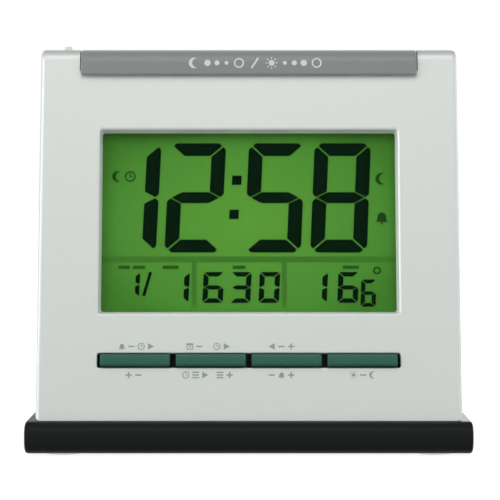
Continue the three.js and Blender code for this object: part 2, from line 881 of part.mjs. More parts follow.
function rearCase() {
  const { bosses, pilots } = plinthBosses(plinthScrewPlaces()[1]);
  const bay = batteryBay();
  const seat = sounderSeat();
  const farDepth = 2 * housingDepth;
  const behindSeam = solid(faceSlice(seamBack, farDepth));
  const inside = solid(housingBlock());
  const wells = casePostPlaces.map(([x, h]) =>
    solid(inFace(rodY(wellRadius + wellWall, seamBack, farDepth, x, h, wellSides))).intersect(inside),
  );
  let body = housingShell().intersect(behindSeam);
  for (const well of wells) body = body.add(well);
  for (const piece of [bay.shell, seat.ring, ...bosses, ...seamLips()]) body = body.add(solid(piece));
  for (const piece of [bay.hollow, seat.socket, seat.throat]) body = body.subtract(solid(piece));
  for (const piece of bay.inside) body = body.add(solid(piece));
  const cuts = [...doorCuts(), ...contactTabSlots(), ...pilots];
  for (const [x, h] of casePostPlaces) {
    cuts.push(inFace(rodY(wellRadius, seamBack + wellFloor, farDepth, x, h, wellSides)));
    cuts.push(inFace(rodY(screwShankRadius + clearance, seamFront, farDepth, x, h, screwSides)));
  }
  for (const [x, z] of grillePlaces()) {
    const y = [rearInnerY - past, rearY + past];
    cuts.push(rodY(grilleHoleRadius, ...y, x, sounderZ + z, grilleHoleSides));
  }
  for (const piece of cuts) body = body.subtract(solid(piece));
  return fromSolid(body);
}

// Plinth: rounded bar, open and ribbed underneath
function plinth() {
  const front = -plinthDepth / 2;
  const back = plinthDepth / 2;
  const section = outline([
    [front, plinthBottom, plinthNoseRadius],
    [back, plinthBottom, plinthRearRadius],
    [back, plinthTop, plinthRearRadius],
    [front, plinthTop, plinthNoseRadius],
  ], curveSteps);
  const bar = alongX(section, -plinthWidth / 2, plinthWidth / 2, plinthEndRadius);
  const left = -plinthWidth / 2 + plinthWall;
  const near = front + plinthNoseRadius;
  const pocketWidth = (-2 * left + plinthRib) / plinthPocketColumns - plinthRib;
  const pocketDepth = (back - plinthRearRadius - near + plinthRib) / plinthPocketRows - plinthRib;
  const filled = solid(bar);
  let body = filled;
  for (let column = 0; column < plinthPocketColumns; column++) {
    for (let row = 0; row < plinthPocketRows; row++) {
      const x = left + column * (pocketWidth + plinthRib);
      const y = near + row * (pocketDepth + plinthRib);
      const z = [-past, plinthTop - plinthWall];
      body = body.subtract(solid(block([x, x + pocketWidth], [y, y + pocketDepth], z)));
    }
  }
  const screws = plinthScrewPlaces().flat();
  const bossTop = plinthTop - plinthWall + overlap;
  const footBoss = footRadius + footFit + footBossWall;
  const headSeat = plinthTop - plinthScrewSeat;
  const shankHole = screwShankRadius + clearance;
  const bosses = [
    ...footPlaces().map(([x, y]) => rodZ(footBoss, -past, bossTop, x, y, discSides)),
    ...screws.map(([x, y]) => rodZ(wellRadius + plinthWellWall, -past, bossTop, x, y, wellSides)),
  ];
  for (const boss of bosses) body = body.add(solid(boss).intersect(filled));
  for (const [x, y] of footPlaces()) {
    body = body.subtract(solid(rodZ(footRadius + footFit, -past, footHeight, x, y, discSides)));
  }
  for (const [x, y] of screws) {
    body = body.subtract(solid(rodZ(wellRadius, -past, headSeat, x, y, wellSides)));
    body = body.subtract(solid(rodZ(shankHole, -past, plinthTop + past, x, y, screwSides)));
  }
  return fromSolid(body);
}

function footPlaces() {
  const x = plinthWidth / 2 - footInset;
  const y = plinthDepth / 2 - footInset;
  return [
    [-x, -y],
    [x, -y],
    [-x, y],
    [x, y],
  ];
}

function foot() {
  const profile = [
    [0, 0],
    [footRadius - footChamfer, 0],
    [footRadius, footChamfer],
    [footRadius, footHeight],
    [0, footHeight],
  ];
  return revolve(profile, discSides).rotateX(Math.PI / 2);
}

// Screw along Y: head towards +Y with its underside at 0, shank towards -Y, crossed recess
function screw(shankRadius, headRadius, headHeight, length, crossed) {
  const profile = [
    [0, -length],
    [shankRadius / 2, -length],
    [shankRadius, -length + shankRadius],
    [shankRadius, 0],
    [headRadius, 0],
    [headRadius, headHeight - screwHeadEdge],
    [headRadius - screwHeadEdge, headHeight],
    [0, headHeight],
  ];
  const body = revolve(profile, screwSides);
  if (!crossed) return body;
  const depth = [headHeight - recessDepth, headHeight + past];
  const half = recessWidth / 2;
  const across = block([-recessArm, recessArm], depth, [-half, half]);
  const upright = block([-half, half], depth, [-recessArm, recessArm]);
  return shaped(body, [], [across, upright]);
}

// Display stack behind the window

function lcdPanel() {
  const bottom = windowCentreHeight - lcdHeight / 2;
  const top = windowCentreHeight + lcdHeight / 2;
  const middle = lcdFront + glassThickness;
  const section = outline([
    [lcdFront, bottom],
    [middle, bottom],
    [middle, bottom + glassLedge],
    [lcdBack, bottom + glassLedge],
    [lcdBack, top],
    [lcdFront, top],
  ]);
  return alongX(section, -lcdWidth / 2, lcdWidth / 2);
}

function lcdFrame() {
  const ring = rectangle(
    frameOuterWidth,
    frameOuterHeight,
    0,
    windowCentreHeight,
    frameCornerRadius,
  );
  ring.holes.push(rectangle(frameInnerWidth, frameInnerHeight, 0, windowCentreHeight));
  return alongY(ring, lcdFront, boardFront - clearance);
}

function guideBottom() {
  return windowCentreHeight - lcdHeight / 2 + glassLedge + clearance;
}

function lightSheet(depth0, depth1) {
  const half = windowWidth / 2 + guideMargin;
  const top = windowCentreHeight + lcdHeight / 2;
  return block([-half, half], [depth0, depth1], [guideBottom(), top]);
}

function backlightLed(side) {
  const near = windowWidth / 2 + guideMargin + clearance;
  const x = [side * near, side * (near + ledWidth)].sort((a, b) => a - b);
  const depth = [guideFront + ledInset, boardFront - clearance];
  return block(x, depth, [windowCentreHeight - ledHeight / 2, windowCentreHeight + ledHeight / 2]);
}

function zebraStrip() {
  const low = windowCentreHeight - lcdHeight / 2 + clearance;
  const half = windowWidth / 2 - zebraEndGap;
  const depth = [lcdFront + glassThickness + clearance, boardFront - clearance];
  return block([-half, half], depth, [low, low + zebraHeight]);
}

function mainBoard() {
  const middle = (boardBottomHeight + boardTopHeight) / 2;
  const board = rectangle(
    2 * boardHalfWidth,
    boardTopHeight - boardBottomHeight,
    0,
    middle,
    boardCornerRadius,
  );
  for (const [x, h] of boardScrewPlaces) {
    const hole = new THREE.Path().absarc(x, h, smallShankRadius + clearance, 0, 2 * Math.PI, true);
    board.holes.push(hole);
  }
  return alongY(board, boardFront, boardBack);
}

// Parts soldered on the back of the main board, standing along +Y

function chipBlob() {
  const r = chipRadius;
  const h = chipHeight;
  const profile = [[0, 0], [r, 0], [r * 0.92, h * 0.45], [r * 0.62, h * 0.83], [0, h]];
  return revolve(profile, discSides).translate(0, boardBack + clearance, windowCentreHeight);
}

function can(radius, height) {
  const profile = [[0, 0], [radius, 0], [radius, height - canEdge], [radius - canEdge, height], [0, height]];
  return revolve(profile, smallSides);
}

function crystal() {
  const depth = boardBack + clearance + crystalRadius;
  return can(crystalRadius, crystalLength)
    .rotateX(Math.PI / 2)
    .translate(crystalX, depth, windowCentreHeight);
}

function capacitor() {
  const height = windowCentreHeight + windowHeight / 2;
  return can(capacitorRadius, capacitorHeight).translate(capacitorX, boardBack + clearance, height);
}

function thermistor() {
  const r = thermistorRadius;
  const h = thermistorHeight;
  const bead = [
    [0, 0],
    [r * 0.3, 0],
    [r * 0.3, h * 0.4],
    [r * 0.85, h * 0.5],
    [r, h * 0.73],
    [r * 0.65, h * 0.95],
    [0, h],
  ];
  const x = -boardScrewX + thermistorInset;
  return revolve(bead, smallSides).translate(x, boardBack + clearance, boardScrewLowHeight);
}

// Keys, sliding square to the face in one slot

function keyCap() {
  const low = -keyHeight / 2;
  const high = keyHeight / 2;
  const round = new THREE.Shape();
  round.moveTo(wall + clearance, low);
  round.lineTo(wall + clearance, high);
  round.lineTo(0, high);
  round.bezierCurveTo(-keyProud, high, -keyProud, high * keyCrown, -keyProud, 0);
  round.bezierCurveTo(-keyProud, low * keyCrown, -keyProud, low, 0, low);
  return alongX(round, -keyWidth / 2, keyWidth / 2, clearance);
}

function key() {
  const back = lensFront + keyFlangeThickness;
  const half = keySlotHeight / 2 + keyFlange;
  const flange = block([-keyWidth / 2, keyWidth / 2], [lensFront, back], [-half, half]);
  const neckHalf = keyWidth / 2 - keyNeckInset;
  const neckDepth = [lensFront - keyNeckReach, lensFront + overlap];
  const neck = block([-neckHalf, neckHalf], neckDepth, [-keyNeckHeight / 2, keyNeckHeight / 2]);
  const plunger = rodY(keyPlungerRadius, back - overlap, padDomeFront - clearance, 0, 0);
  return shaped(keyCap(), [neck, flange, plunger]);
}

function keyX(index) {
  return (index - (keyCount - 1) / 2) * keyPitch;
}

// Rubber dome standing on a rim, its foot at 0 along Y
function dome(radius, height, rim) {
  const rise = height - rim;
  const profile = [
    [0, 0],
    [radius, 0],
    [radius, rim],
    [radius * 0.85, rim + rise * 0.7],
    [radius * 0.6, height],
    [0, height],
  ];
  return revolve(profile, smallSides);
}

function keyPad() {
  const back = boardFront - clearance;
  const front = back - padBaseThickness;
  const sheet = rectangle(keySlotWidth, padHeight, 0, keySlotCentreHeight, padCornerRadius);
  const domes = Array.from({ length: keyCount }, (_, i) =>
    dome(padDomeRadius, padDomeHeight + overlap, overlap)
      .rotateX(Math.PI)
      .translate(keyX(i), front + overlap, keySlotCentreHeight),
  );
  return shaped(alongY(sheet, front, back), domes);
}

// Snooze bar: an L-shaped strip over the top front edge, caught by tongues and hooks

function snoozeStrip() {
  const under = housingTop - snoozeThickness;
  const section = outline([
    facePoint(-snoozeProud, snoozeLipBottom),
    facePoint(-snoozeLipGap, snoozeLipBottom),
    [faceY(under, -snoozeLipGap), under, snoozeInnerRadius],
    [snoozeRearY, under],
    [snoozeRearY, housingTop, snoozeRearRadius],
    [faceY(housingTop, -snoozeProud), housingTop, snoozeEdgeRadius],
  ], curveSteps);
  return alongX(section, -snoozeWidth / 2, snoozeWidth / 2, snoozeEndRadius);
}

// A tongue behind the face wall, with a barb that catches in its pocket
function snoozeTongue(x) {
  const start = housingTop - snoozeThickness + overlap;
  const front = wall + clearance;
  const back = front + snoozeTongueThickness;
  const tip = wall - snoozeBarbReach;
  const shape = outline([
    [faceY(start, front), start],
    facePoint(front, snoozeBarbTop),
    facePoint(tip, snoozeBarbTop),
    facePoint(tip, snoozeBarbTop - snoozeBarbLand),
    facePoint(front, snoozeBarbBottom),
    facePoint(back, snoozeBarbBottom),
    [faceY(start, back), start],
  ]);
  return alongX(shape, x - snoozeCatchWidth / 2, x + snoozeCatchWidth / 2);
}

function snoozeHook(x) {
  const start = housingTop - snoozeThickness + overlap;
  const catchTop = roof - clearance;
  const catchBottom = catchTop - snoozeTongueThickness;
  const neck = snoozeRearY - clearance;
  const shape = outline([
    [neck - snoozeHookNeck, start],
    [neck - snoozeHookNeck, catchBottom],
    [snoozeRearY + snoozeHookReach, catchBottom],
    [snoozeRearY + snoozeHookReach, catchTop],
    [neck, catchTop],
    [neck, start],
  ]);
  return alongX(shape, x - snoozeCatchWidth / 2, x + snoozeCatchWidth / 2);
}

function snoozeBar() {
  const under = housingTop - snoozeThickness;
  const plungerEnd = switchBoardTop + domeHeight + clearance;
  const rib = block(
    [-switchBoardScrewX, switchBoardScrewX],
    [domeY - snoozeRibThickness / 2, domeY + snoozeRibThickness / 2],
    [under - snoozeRibDepth, under + overlap],
  );
  const plunger = rodZ(snoozePlungerRadius, plungerEnd, under + overlap, 0, domeY);
  const catches = [-snoozeCatchX, snoozeCatchX].flatMap((x) => [snoozeTongue(x), snoozeHook(x)]);
  return shaped(snoozeStrip(), [rib, plunger, ...catches]);
}

// Small board under the roof

function switchBoard() {
  const left = -(innerHalfWidth - lipRoom - clearance);
  const right = switchBoardScrewX + switchBoardEnd;
  const r = boardCornerRadius;
  const board = outline([
    [left, switchBoardFrontY, r],
    [right, switchBoardFrontY, r],
    [right, switchBoardRearY, r],
    [left, switchBoardRearY, r],
  ], 3);
  for (const side of [-1, 1]) {
    const x = side * switchBoardScrewX;
    const hole = new THREE.Path();
    hole.absarc(x, switchBossY, smallShankRadius + clearance, 0, 2 * Math.PI, true);
    board.holes.push(hole);
  }
  return alongZ(board, switchBoardBottom, switchBoardTop);
}

function snoozeDome() {
  return dome(domeRadius, domeHeight, domeRim)
    .rotateX(Math.PI / 2)
    .translate(0, domeY, switchBoardTop);
}

function alarmSwitchBody() {
  const middle = alarmKnobY + alarmKnobTravel / 2;
  const length = alarmKnobTravel + alarmKnobLength + 2 * clearance;
  const top = switchBoardTop + alarmBodyHeight;
  const x = (half) => [alarmSwitchX - half, alarmSwitchX + half];
  const body = block(
    x(alarmBodyWidth / 2),
    [middle - length / 2 - alarmBodyEnd, middle + length / 2 + alarmBodyEnd],
    [switchBoardTop, top],
  );
  const channel = block(
    x(alarmKnobWidth / 2 + clearance),
    [middle - length / 2, middle + length / 2],
    [top - alarmChannelDepth, top + past],
  );
  return shaped(body, [], [channel]);
}

function alarmSwitchKnob() {
  const half = alarmKnobWidth / 2;
  const bottom = switchBoardTop + alarmBodyHeight - alarmChannelDepth + clearance;
  const stem = rectangle(alarmKnobWidth, alarmKnobLength, alarmSwitchX, alarmKnobY, alarmKnobRadius);
  const coverTop = roof - clearance;
  const cover = block(
    [alarmSwitchX - alarmCoverWidth / 2, alarmSwitchX + alarmCoverWidth / 2],
    [alarmKnobY - alarmCoverLength / 2, alarmKnobY + alarmCoverLength / 2],
    [coverTop - alarmCoverThickness, coverTop],
  );
  const top = housingTop + alarmKnobProud;
  const groove = block(
    [alarmSwitchX - half - past, alarmSwitchX + half + past],
    [alarmKnobY - alarmGripWidth / 2, alarmKnobY + alarmGripWidth / 2],
    [top - alarmGripDepth, top + past],
  );
  return shaped(alongZ(stem, bottom, top), [cover], [groove]);
}

// Battery door with tabs below and a sprung tongue above

function batteryDoor() {
  const inner = rearY - doorThickness;
  const panel = alongY(
    rectangle(2 * doorHalfWidth, doorTop - doorBottom, 0, (doorTop + doorBottom) / 2, doorCornerRadius),
    inner,
    rearY,
  );
  const behindWall = rearInnerY - clearance;
  const tabInner = behindWall - doorTabThickness;
  const tabLow = doorBottom + overlap;
  const tabHigh = tabLow + doorTabThickness;
  const tabs = [-1, 1].map((side) => {
    const shape = outline([
      [inner + overlap, tabHigh],
      [tabInner, tabHigh],
      [tabInner, doorBottom - doorTabDrop],
      [behindWall, doorBottom - doorTabDrop],
      [behindWall, tabLow],
      [inner + overlap, tabLow],
    ]);
    const middle = side * doorTabX;
    return alongX(shape, middle - doorTabWidth / 2, middle + doorTabWidth / 2);
  });
  const slots = [-1, 1].map((side) => {
    const x = side * (doorLatchWidth / 2);
    const across = [x - doorLatchSlot / 2, x + doorLatchSlot / 2];
    const z = [doorTop - doorLatchHeight, doorTop + past];
    return block(across, [inner - past, rearY + past], z);
  });
  const grips = Array.from({ length: doorGripCount }, (_, i) => {
    const half = doorGripWidth / 2;
    const high = doorTop - doorGripInset - doorGripPitch * i;
    return block([-half, half], [rearY - doorGripDepth, rearY + past], [high - doorGripHeight, high]);
  });
  return shaped(panel, tabs, [...slots, ...grips]);
}

// A round cell lying along X with its raised end towards the given side
function cell(side, z) {
  const half = cellLength / 2;
  const r = cellRadius;
  const e = cellEdgeRadius;
  const profile = [
    [0, -half],
    [r - e, -half],
    [r, -half + e],
    [r, half - cellNubLength - e],
    [r - e, half - cellNubLength],
    [cellNubRadius, half - cellNubLength],
    [cellNubRadius, half],
    [0, half],
  ];
  const can = revolve(profile, discSides).rotateZ((-side * Math.PI) / 2);
  return can.translate(side * cellShift, cellY, z);
}

// Conical spring from a contact plate to the flat end of a cell
class SpringCurve extends THREE.Curve {
  constructor(side, z) {
    super();
    this.side = side;
    this.z = z;
  }

  getPoint(t) {
    const angle = 2 * Math.PI * springTurns * t;
    const radius = THREE.MathUtils.lerp(springBaseRadius, springTipRadius, t);
    const start = contactFace + contactThickness / 2;
    const end = contactFace - springLength + springWireRadius + clearance;
    const x = THREE.MathUtils.lerp(start, end, t);
    const y = cellY + radius * Math.cos(angle);
    return new THREE.Vector3(this.side * x, y, this.z + radius * Math.sin(angle));
  }
}

function springSteps() {
  return Math.round(springTurns * springStepsPerTurn);
}

// Least open distance between one turn of the spring and the others
function springLeastGap() {
  const curve = new SpringCurve(1, 0);
  const steps = springSteps() * 4;
  const points = Array.from({ length: steps + 1 }, (_, i) => curve.getPoint(i / steps));
  let least = Infinity;
  for (let i = 0; i < points.length; i++) {
    for (let j = i + (steps / springTurns) * 0.5; j < points.length; j++) {
      least = Math.min(least, points[i].distanceTo(points[Math.round(j)] ?? points.at(-1)));
    }
  }
  return least - 2 * springWireRadius;
}

function contactPlate(side, z0, z1) {
  const x = [side * contactFace, side * contactBack].sort((a, b) => a - b);
  return block(x, [cellY - contactWidth / 2, cellY + contactWidth / 2], [z0, z1]);
}

function contactTab(z) {
  return block(
    [contactFace, contactBack + contactTabReach],
    [cellY - contactTabWidth / 2, cellY + contactTabWidth / 2],
    [z - contactThickness / 2, z + contactThickness / 2],
  );
}

function contactSpring(side, z) {
  return tube(new SpringCurve(side, z), springWireRadius, springSteps(), springSides);
}

function contactPositive() {
  const half = contactWidth / 2;
  return shaped(contactPlate(1, lowerCellZ - half, lowerCellZ + half), [contactTab(lowerCellZ)]);
}

function contactNegative() {
  const half = contactWidth / 2;
  return shaped(contactPlate(1, upperCellZ - half, upperCellZ + half), [
    contactTab(upperCellZ),
    contactSpring(1, upperCellZ),
  ]);
}

function contactLink() {
  const half = contactWidth / 2;
  return shaped(contactPlate(-1, lowerCellZ - half, upperCellZ + half), [
    contactSpring(-1, lowerCellZ),
  ]);
}

function sounderDisc() {
  const r = sounderRadius;
  const t = sounderThickness;
  const profile = [[0, 0], [r * 0.7, 0], [r * 0.7, t / 2], [r, t / 2], [r, t], [0, t]];
  const back = rearInnerY - sounderLedge - clearance;
  return revolve(profile, discSides).translate(0, back - t, sounderZ);
}

// Leads held inside the housing

function leadThrough(points) {
  const curve = new THREE.CatmullRomCurve3(points.map((p) => new THREE.Vector3(...p)));
  return tube(curve, leadRadius, leadSteps, leadSides);
}

function batteryLead(z, height) {
  const tabEnd = contactBack + contactTabReach + clearance;
  const [endY, endZ] = facePoint(boardBack + clearance, height);
  const [nearY, nearZ] = facePoint(boardBack + clearance + leadStraight, height);
  return leadThrough([
    [tabEnd, cellY, z],
    [(tabEnd + leadX) / 2, cellY, z],
    [leadX, (cellY * 2 + nearY) / 3, z],
    [leadX, nearY, nearZ],
    [leadX, endY, endZ],
  ]);
}

function sounderLead(x) {
  const startY = rearInnerY - sounderLedge - clearance - sounderThickness - clearance;
  const height = windowCentreHeight + windowHeight / 2 - sounderLeadDrop;
  const [endY, endZ] = facePoint(boardBack + clearance, height);
  const [nearY, nearZ] = facePoint(boardBack + clearance + leadStraight, height);
  return leadThrough([
    [x, startY, sounderZ],
    [x, startY - leadStraight, sounderZ],
    [x, (startY + nearY) / 2, (sounderZ + nearZ) / 2],
    [x, nearY, nearZ],
    [x, endY, endZ],
  ]);
}

// Flat ribbon from the small board down to the back of the main board
function ribbon() {
  const depth = boardBack + clearance;
  const [lowY, lowZ] = facePoint(depth, boardTopHeight - ribbonLap);
  const [bendY, bendZ] = facePoint(depth, boardTopHeight + ribbonBend);
  const top = switchBoardBottom - clearance;
  const t = ribbonThickness;
  const shape = outline([
    [lowY, lowZ],
    [lowY + t, lowZ],
    [bendY + t, bendZ - t / 2],
    [switchBossY, top - t],
    [switchBossY, top],
    [switchBossY - t, top],
    [bendY, bendZ],
  ]);
  return alongX(shape, ribbonWidth, 2 * ribbonWidth);
}

// Assembly

part("plinth", plinth(), finishes.blackPlastic());
const footNames = ["foot_front_left", "foot_front_right", "foot_rear_left", "foot_rear_right"];
footPlaces().forEach(([x, y], i) => {
  part(footNames[i], foot(), finishes.blackRubber()).position.set(x, y, 0);
});
plinthScrewPlaces()
  .flat()
  .forEach(([x, y], i) => {
    const length = plinthScrewSeat + wall + plinthBossHeight - screwEndGap;
    const body = screw(screwShankRadius, screwHeadRadius, screwHeadHeight, length, true);
    const mesh = part(`plinth_screw_${i + 1}`, body, finishes.plainSteel());
    mesh.rotation.x = -Math.PI / 2;
    mesh.position.set(x, y, plinthTop - plinthScrewSeat);
  });

part("front_case", frontCase(), finishes.silverPlastic());
part("rear_case", rearCase(), finishes.silverPlastic());
casePostPlaces.forEach(([x, height], i) => {
  const length = wellFloor + screwGrip;
  const body = screw(screwShankRadius, screwHeadRadius, screwHeadHeight, length, true);
  const mesh = part(`case_screw_${i + 1}`, body, finishes.plainSteel(), facePieces);
  mesh.position.set(x, seamBack + wellFloor + clearance, height);
});

const lens = rectangle(
  windowWidth + 2 * lensMargin,
  windowHeight + 2 * lensMargin,
  0,
  windowCentreHeight,
);
part("window_lens", alongY(lens, lensFront, lensBack), finishes.clearPlastic(), facePieces);
part("lcd_panel", lcdPanel(), finishes.displayGlass(), facePieces);
part("lcd_frame", lcdFrame(), finishes.whitePlastic(), facePieces);
part("backlight_guide", lightSheet(guideFront, guideBack), finishes.lightGuide(), facePieces);
part("reflector_sheet", lightSheet(reflectorFront, reflectorBack), finishes.whiteFilm(), facePieces);
part("backlight_led_left", backlightLed(-1), finishes.whitePlastic(), facePieces);
part("backlight_led_right", backlightLed(1), finishes.whitePlastic(), facePieces);
part("zebra_connector", zebraStrip(), finishes.siliconeRubber(), facePieces);

part("main_board", mainBoard(), finishes.boardResin(), facePieces);
part("chip_blob", chipBlob(), finishes.blackResin(), facePieces);
part("crystal", crystal(), finishes.plainSteel(), facePieces);
part("capacitor", capacitor(), finishes.blackSleeve(), facePieces);
part("thermistor", thermistor(), finishes.blackResin(), facePieces);
boardScrewPlaces.forEach(([x, height], i) => {
  const body = screw(smallShankRadius, smallHeadRadius, smallHeadHeight, screwGrip, false);
  const mesh = part(`board_screw_${i + 1}`, body, finishes.plainSteel(), facePieces);
  mesh.position.set(x, boardBack + clearance, height);
});

for (let i = 0; i < keyCount; i++) {
  const mesh = part(`key_${i + 1}`, key(), finishes.greenPlastic(), facePieces);
  mesh.position.set(keyX(i), 0, keySlotCentreHeight);
}
part("key_pad", keyPad(), finishes.siliconeRubber(), facePieces);

part("snooze_bar", snoozeBar(), finishes.greyPlastic());
part("switch_board", switchBoard(), finishes.boardResin());
part("snooze_dome", snoozeDome(), finishes.siliconeRubber());
[-1, 1].forEach((side, i) => {
  const body = screw(smallShankRadius, smallHeadRadius, smallHeadHeight, screwGrip, false);
  const mesh = part(`switch_board_screw_${i + 1}`, body, finishes.plainSteel());
  mesh.rotation.x = -Math.PI / 2;
  mesh.position.set(side * switchBoardScrewX, switchBossY, switchBoardBottom);
});
part("alarm_switch_body", alarmSwitchBody(), finishes.blackPlastic());
part("alarm_switch_knob", alarmSwitchKnob(), finishes.silverPlastic());
part("ribbon_cable", ribbon(), finishes.greyRibbon());

part("battery_door", batteryDoor(), finishes.silverPlastic());
part("battery_cell_lower", cell(1, lowerCellZ), finishes.cellWrap());
part("battery_cell_upper", cell(-1, upperCellZ), finishes.cellWrap());
part("contact_link", contactLink(), finishes.nickelPlate());
part("contact_positive", contactPositive(), finishes.nickelPlate());
part("contact_negative", contactNegative(), finishes.nickelPlate());
const [redLeadHeight, blackLeadHeight] = batteryLeadHeights;
part("battery_lead_red", batteryLead(lowerCellZ, redLeadHeight), finishes.redSleeve());
part("battery_lead_black", batteryLead(upperCellZ, blackLeadHeight), finishes.blackSleeve());

part("sounder_disc", sounderDisc(), finishes.brassSheet());
part("sounder_lead_red", sounderLead(leadSpacing / 2), finishes.redSleeve());
part("sounder_lead_black", sounderLead(-leadSpacing / 2), finishes.blackSleeve());

console.log(`Least gap between turns of a battery spring: ${springLeastGap().toFixed(2)} mm`);

export default clock;
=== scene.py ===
import json
import math

import bmesh
import bpy
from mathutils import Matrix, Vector


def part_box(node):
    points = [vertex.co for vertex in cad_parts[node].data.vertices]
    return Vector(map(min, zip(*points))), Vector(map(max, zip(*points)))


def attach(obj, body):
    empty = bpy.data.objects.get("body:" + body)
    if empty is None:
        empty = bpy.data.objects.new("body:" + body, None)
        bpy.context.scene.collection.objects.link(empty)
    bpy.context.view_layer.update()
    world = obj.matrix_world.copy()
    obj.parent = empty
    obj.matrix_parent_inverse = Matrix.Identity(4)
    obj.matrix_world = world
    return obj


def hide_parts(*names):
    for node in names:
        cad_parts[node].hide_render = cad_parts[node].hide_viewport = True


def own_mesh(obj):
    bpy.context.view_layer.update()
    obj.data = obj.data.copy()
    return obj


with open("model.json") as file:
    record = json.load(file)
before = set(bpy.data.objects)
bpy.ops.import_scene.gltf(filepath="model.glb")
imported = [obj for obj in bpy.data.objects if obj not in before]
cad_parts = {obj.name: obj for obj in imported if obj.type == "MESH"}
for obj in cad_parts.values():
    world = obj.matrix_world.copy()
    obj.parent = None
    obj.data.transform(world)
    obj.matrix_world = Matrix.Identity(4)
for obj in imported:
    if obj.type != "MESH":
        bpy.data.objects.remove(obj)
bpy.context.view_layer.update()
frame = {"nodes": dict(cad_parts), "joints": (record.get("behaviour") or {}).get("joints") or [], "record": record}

nodes = frame["nodes"]
record = frame["record"]
joints = {joint["name"]: joint for joint in frame["joints"]}
body_of_node = {node: body for body, names in record["behaviour"]["bodies"].items() for node in names}
slot_of_node = {part["node"]: part["material_slot"] for part in record["subparts"]}
key_names = [f"key_{number}" for number in range(1, 5)]


def mm(value):
    return value / 1000


# The leaning face: the ways into it, across it and up it, from the front foot of the housing

into_face = Vector(joints["key_1_press"]["axis"]).normalized()
across_face = Vector((1, 0, 0))
up_face = across_face.cross(into_face).normalized()
case_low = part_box("front_case")[0]
face_foot = Vector((0, case_low.y, case_low.z))


def on_face(x, height, depth):
    """The point x across, height up and depth behind the face, all in mm."""
    return face_foot + across_face * mm(x) + up_face * mm(height) + into_face * mm(depth)


def from_face(point):
    """How far a point lies across, up and behind the face, in mm."""
    offset = (point - face_foot) * 1000
    return offset.dot(across_face), offset.dot(up_face), offset.dot(into_face)


def corners_of(node):
    """Every corner of a node, measured from the face."""
    return [from_face(v.co) for v in nodes[node].data.vertices]


def front_of(node):
    """Depth of a node's nearest point behind the face, in mm."""
    return min(depth for _, _, depth in corners_of(node))


def reach_on_face(node, pick, margin=0.0):
    """Least or greatest reach of a node across and up the face, moved by margin, in mm."""
    across, up, _ = zip(*corners_of(node))
    return pick(across) + margin, pick(up) + margin


# Colours

def linear(red, green, blue):
    """Linear colour from the 0-255 values that a screen shows."""
    def one(value):
        share = value / 255
        return share / 12.92 if share <= 0.04045 else ((share + 0.055) / 1.055) ** 2.4

    return (one(red), one(green), one(blue), 1.0)


def scaled(colour, factor):
    return (colour[0] * factor, colour[1] * factor, colour[2] * factor, 1.0)


# Node trees

class Nodes:
    """A node tree with short ways to add nodes and to join them."""

    def __init__(self, tree):
        self.tree = tree

    def add(self, kind, **values):
        made = self.tree.nodes.new(kind)
        for name, value in values.items():
            setattr(made, name, value)
        return made

    def link(self, output, target):
        self.tree.links.new(output, target)

    def remap(self, value, source, result, **values):
        """A value carried from the span source over to the span result."""
        made = self.add("ShaderNodeMapRange", **values)
        for socket, number in zip(("From Min", "From Max", "To Min", "To Max"), source + result):
            made.inputs[socket].default_value = number
        self.link(value, made.inputs["Value"])
        return made.outputs["Result"]

    def vector(self, operation, value, other=(0, 0, 0)):
        made = self.add("ShaderNodeVectorMath", operation=operation)
        made.inputs[1].default_value = other
        self.link(value, made.inputs[0])
        return made.outputs["Value" if operation == "LENGTH" else "Vector"]

    def both(self, operation, first, second):
        made = self.add("ShaderNodeMath", operation=operation)
        self.link(first, made.inputs[0])
        self.link(second, made.inputs[1])
        return made.outputs["Value"]

    def on_rays(self, *kinds):
        """1 on rays of any of these kinds, else 0."""
        paths = self.add("ShaderNodeLightPath")
        shown = paths.outputs[kinds[0]]
        for kind in kinds[1:]:
            shown = self.both("MAXIMUM", shown, paths.outputs[kind])
        return shown


class Shader(Nodes):
    """A Principled material with short ways to vary its colour, roughness and relief."""

    noise_span = (0.3, 0.7)

    def __init__(self, name, colour, roughness, metallic=0.0, specular=0.5):
        self.material = bpy.data.materials.new(name)
        self.material.use_nodes = True
        super().__init__(self.material.node_tree)
        self.surface = self.tree.nodes["Principled BSDF"]
        self.colour = colour
        self.set("Base Color", colour)
        self.set("Roughness", roughness)
        self.set("Metallic", metallic)
        self.set("Specular IOR Level", specular)
        self.place = self.add("ShaderNodeTexCoord").outputs["Object"]

    def set(self, socket, value):
        self.surface.inputs[socket].default_value = value

    def drive(self, socket, output):
        self.link(output, self.surface.inputs[socket])

    def noise(self, scale, detail=2.0):
        made = self.add("ShaderNodeTexNoise")
        made.inputs["Scale"].default_value = scale
        made.inputs["Detail"].default_value = detail
        self.link(self.place, made.inputs["Vector"])
        return made.outputs["Fac"]

    def ramp(self, factor, stops, kind="LINEAR"):
        made = self.add("ShaderNodeValToRGB")
        made.color_ramp.interpolation = kind
        elements = made.color_ramp.elements
        while len(elements) < len(stops):
            elements.new(0.5)
        for element, (place, colour) in zip(elements, stops):
            element.position = place
            element.color = colour
        self.link(factor, made.inputs["Fac"])
        return made.outputs["Color"]

    def mottle(self, amount, scale=140):
        """Colour that wanders by a small amount round its mean."""
        low, high = self.noise_span
        stops = [(low, scaled(self.colour, 1 - amount)), (high, scaled(self.colour, 1 + amount))]
        self.drive("Base Color", self.ramp(self.noise(scale), stops))

    def rub(self, low, high, scale=260):
        """Roughness that wanders between two values."""
        self.drive("Roughness", self.remap(self.noise(scale), self.noise_span, (low, high)))

    def grain(self, height, scale=2600, detail=3.0):
        """Fine relief, height in mm."""
        bump = self.add("ShaderNodeBump")
        bump.inputs["Strength"].default_value = 1.0
        bump.inputs["Distance"].default_value = mm(height)
        self.link(self.noise(scale, detail), bump.inputs["Height"])
        self.drive("Normal", bump.outputs["Normal"])


# Materials

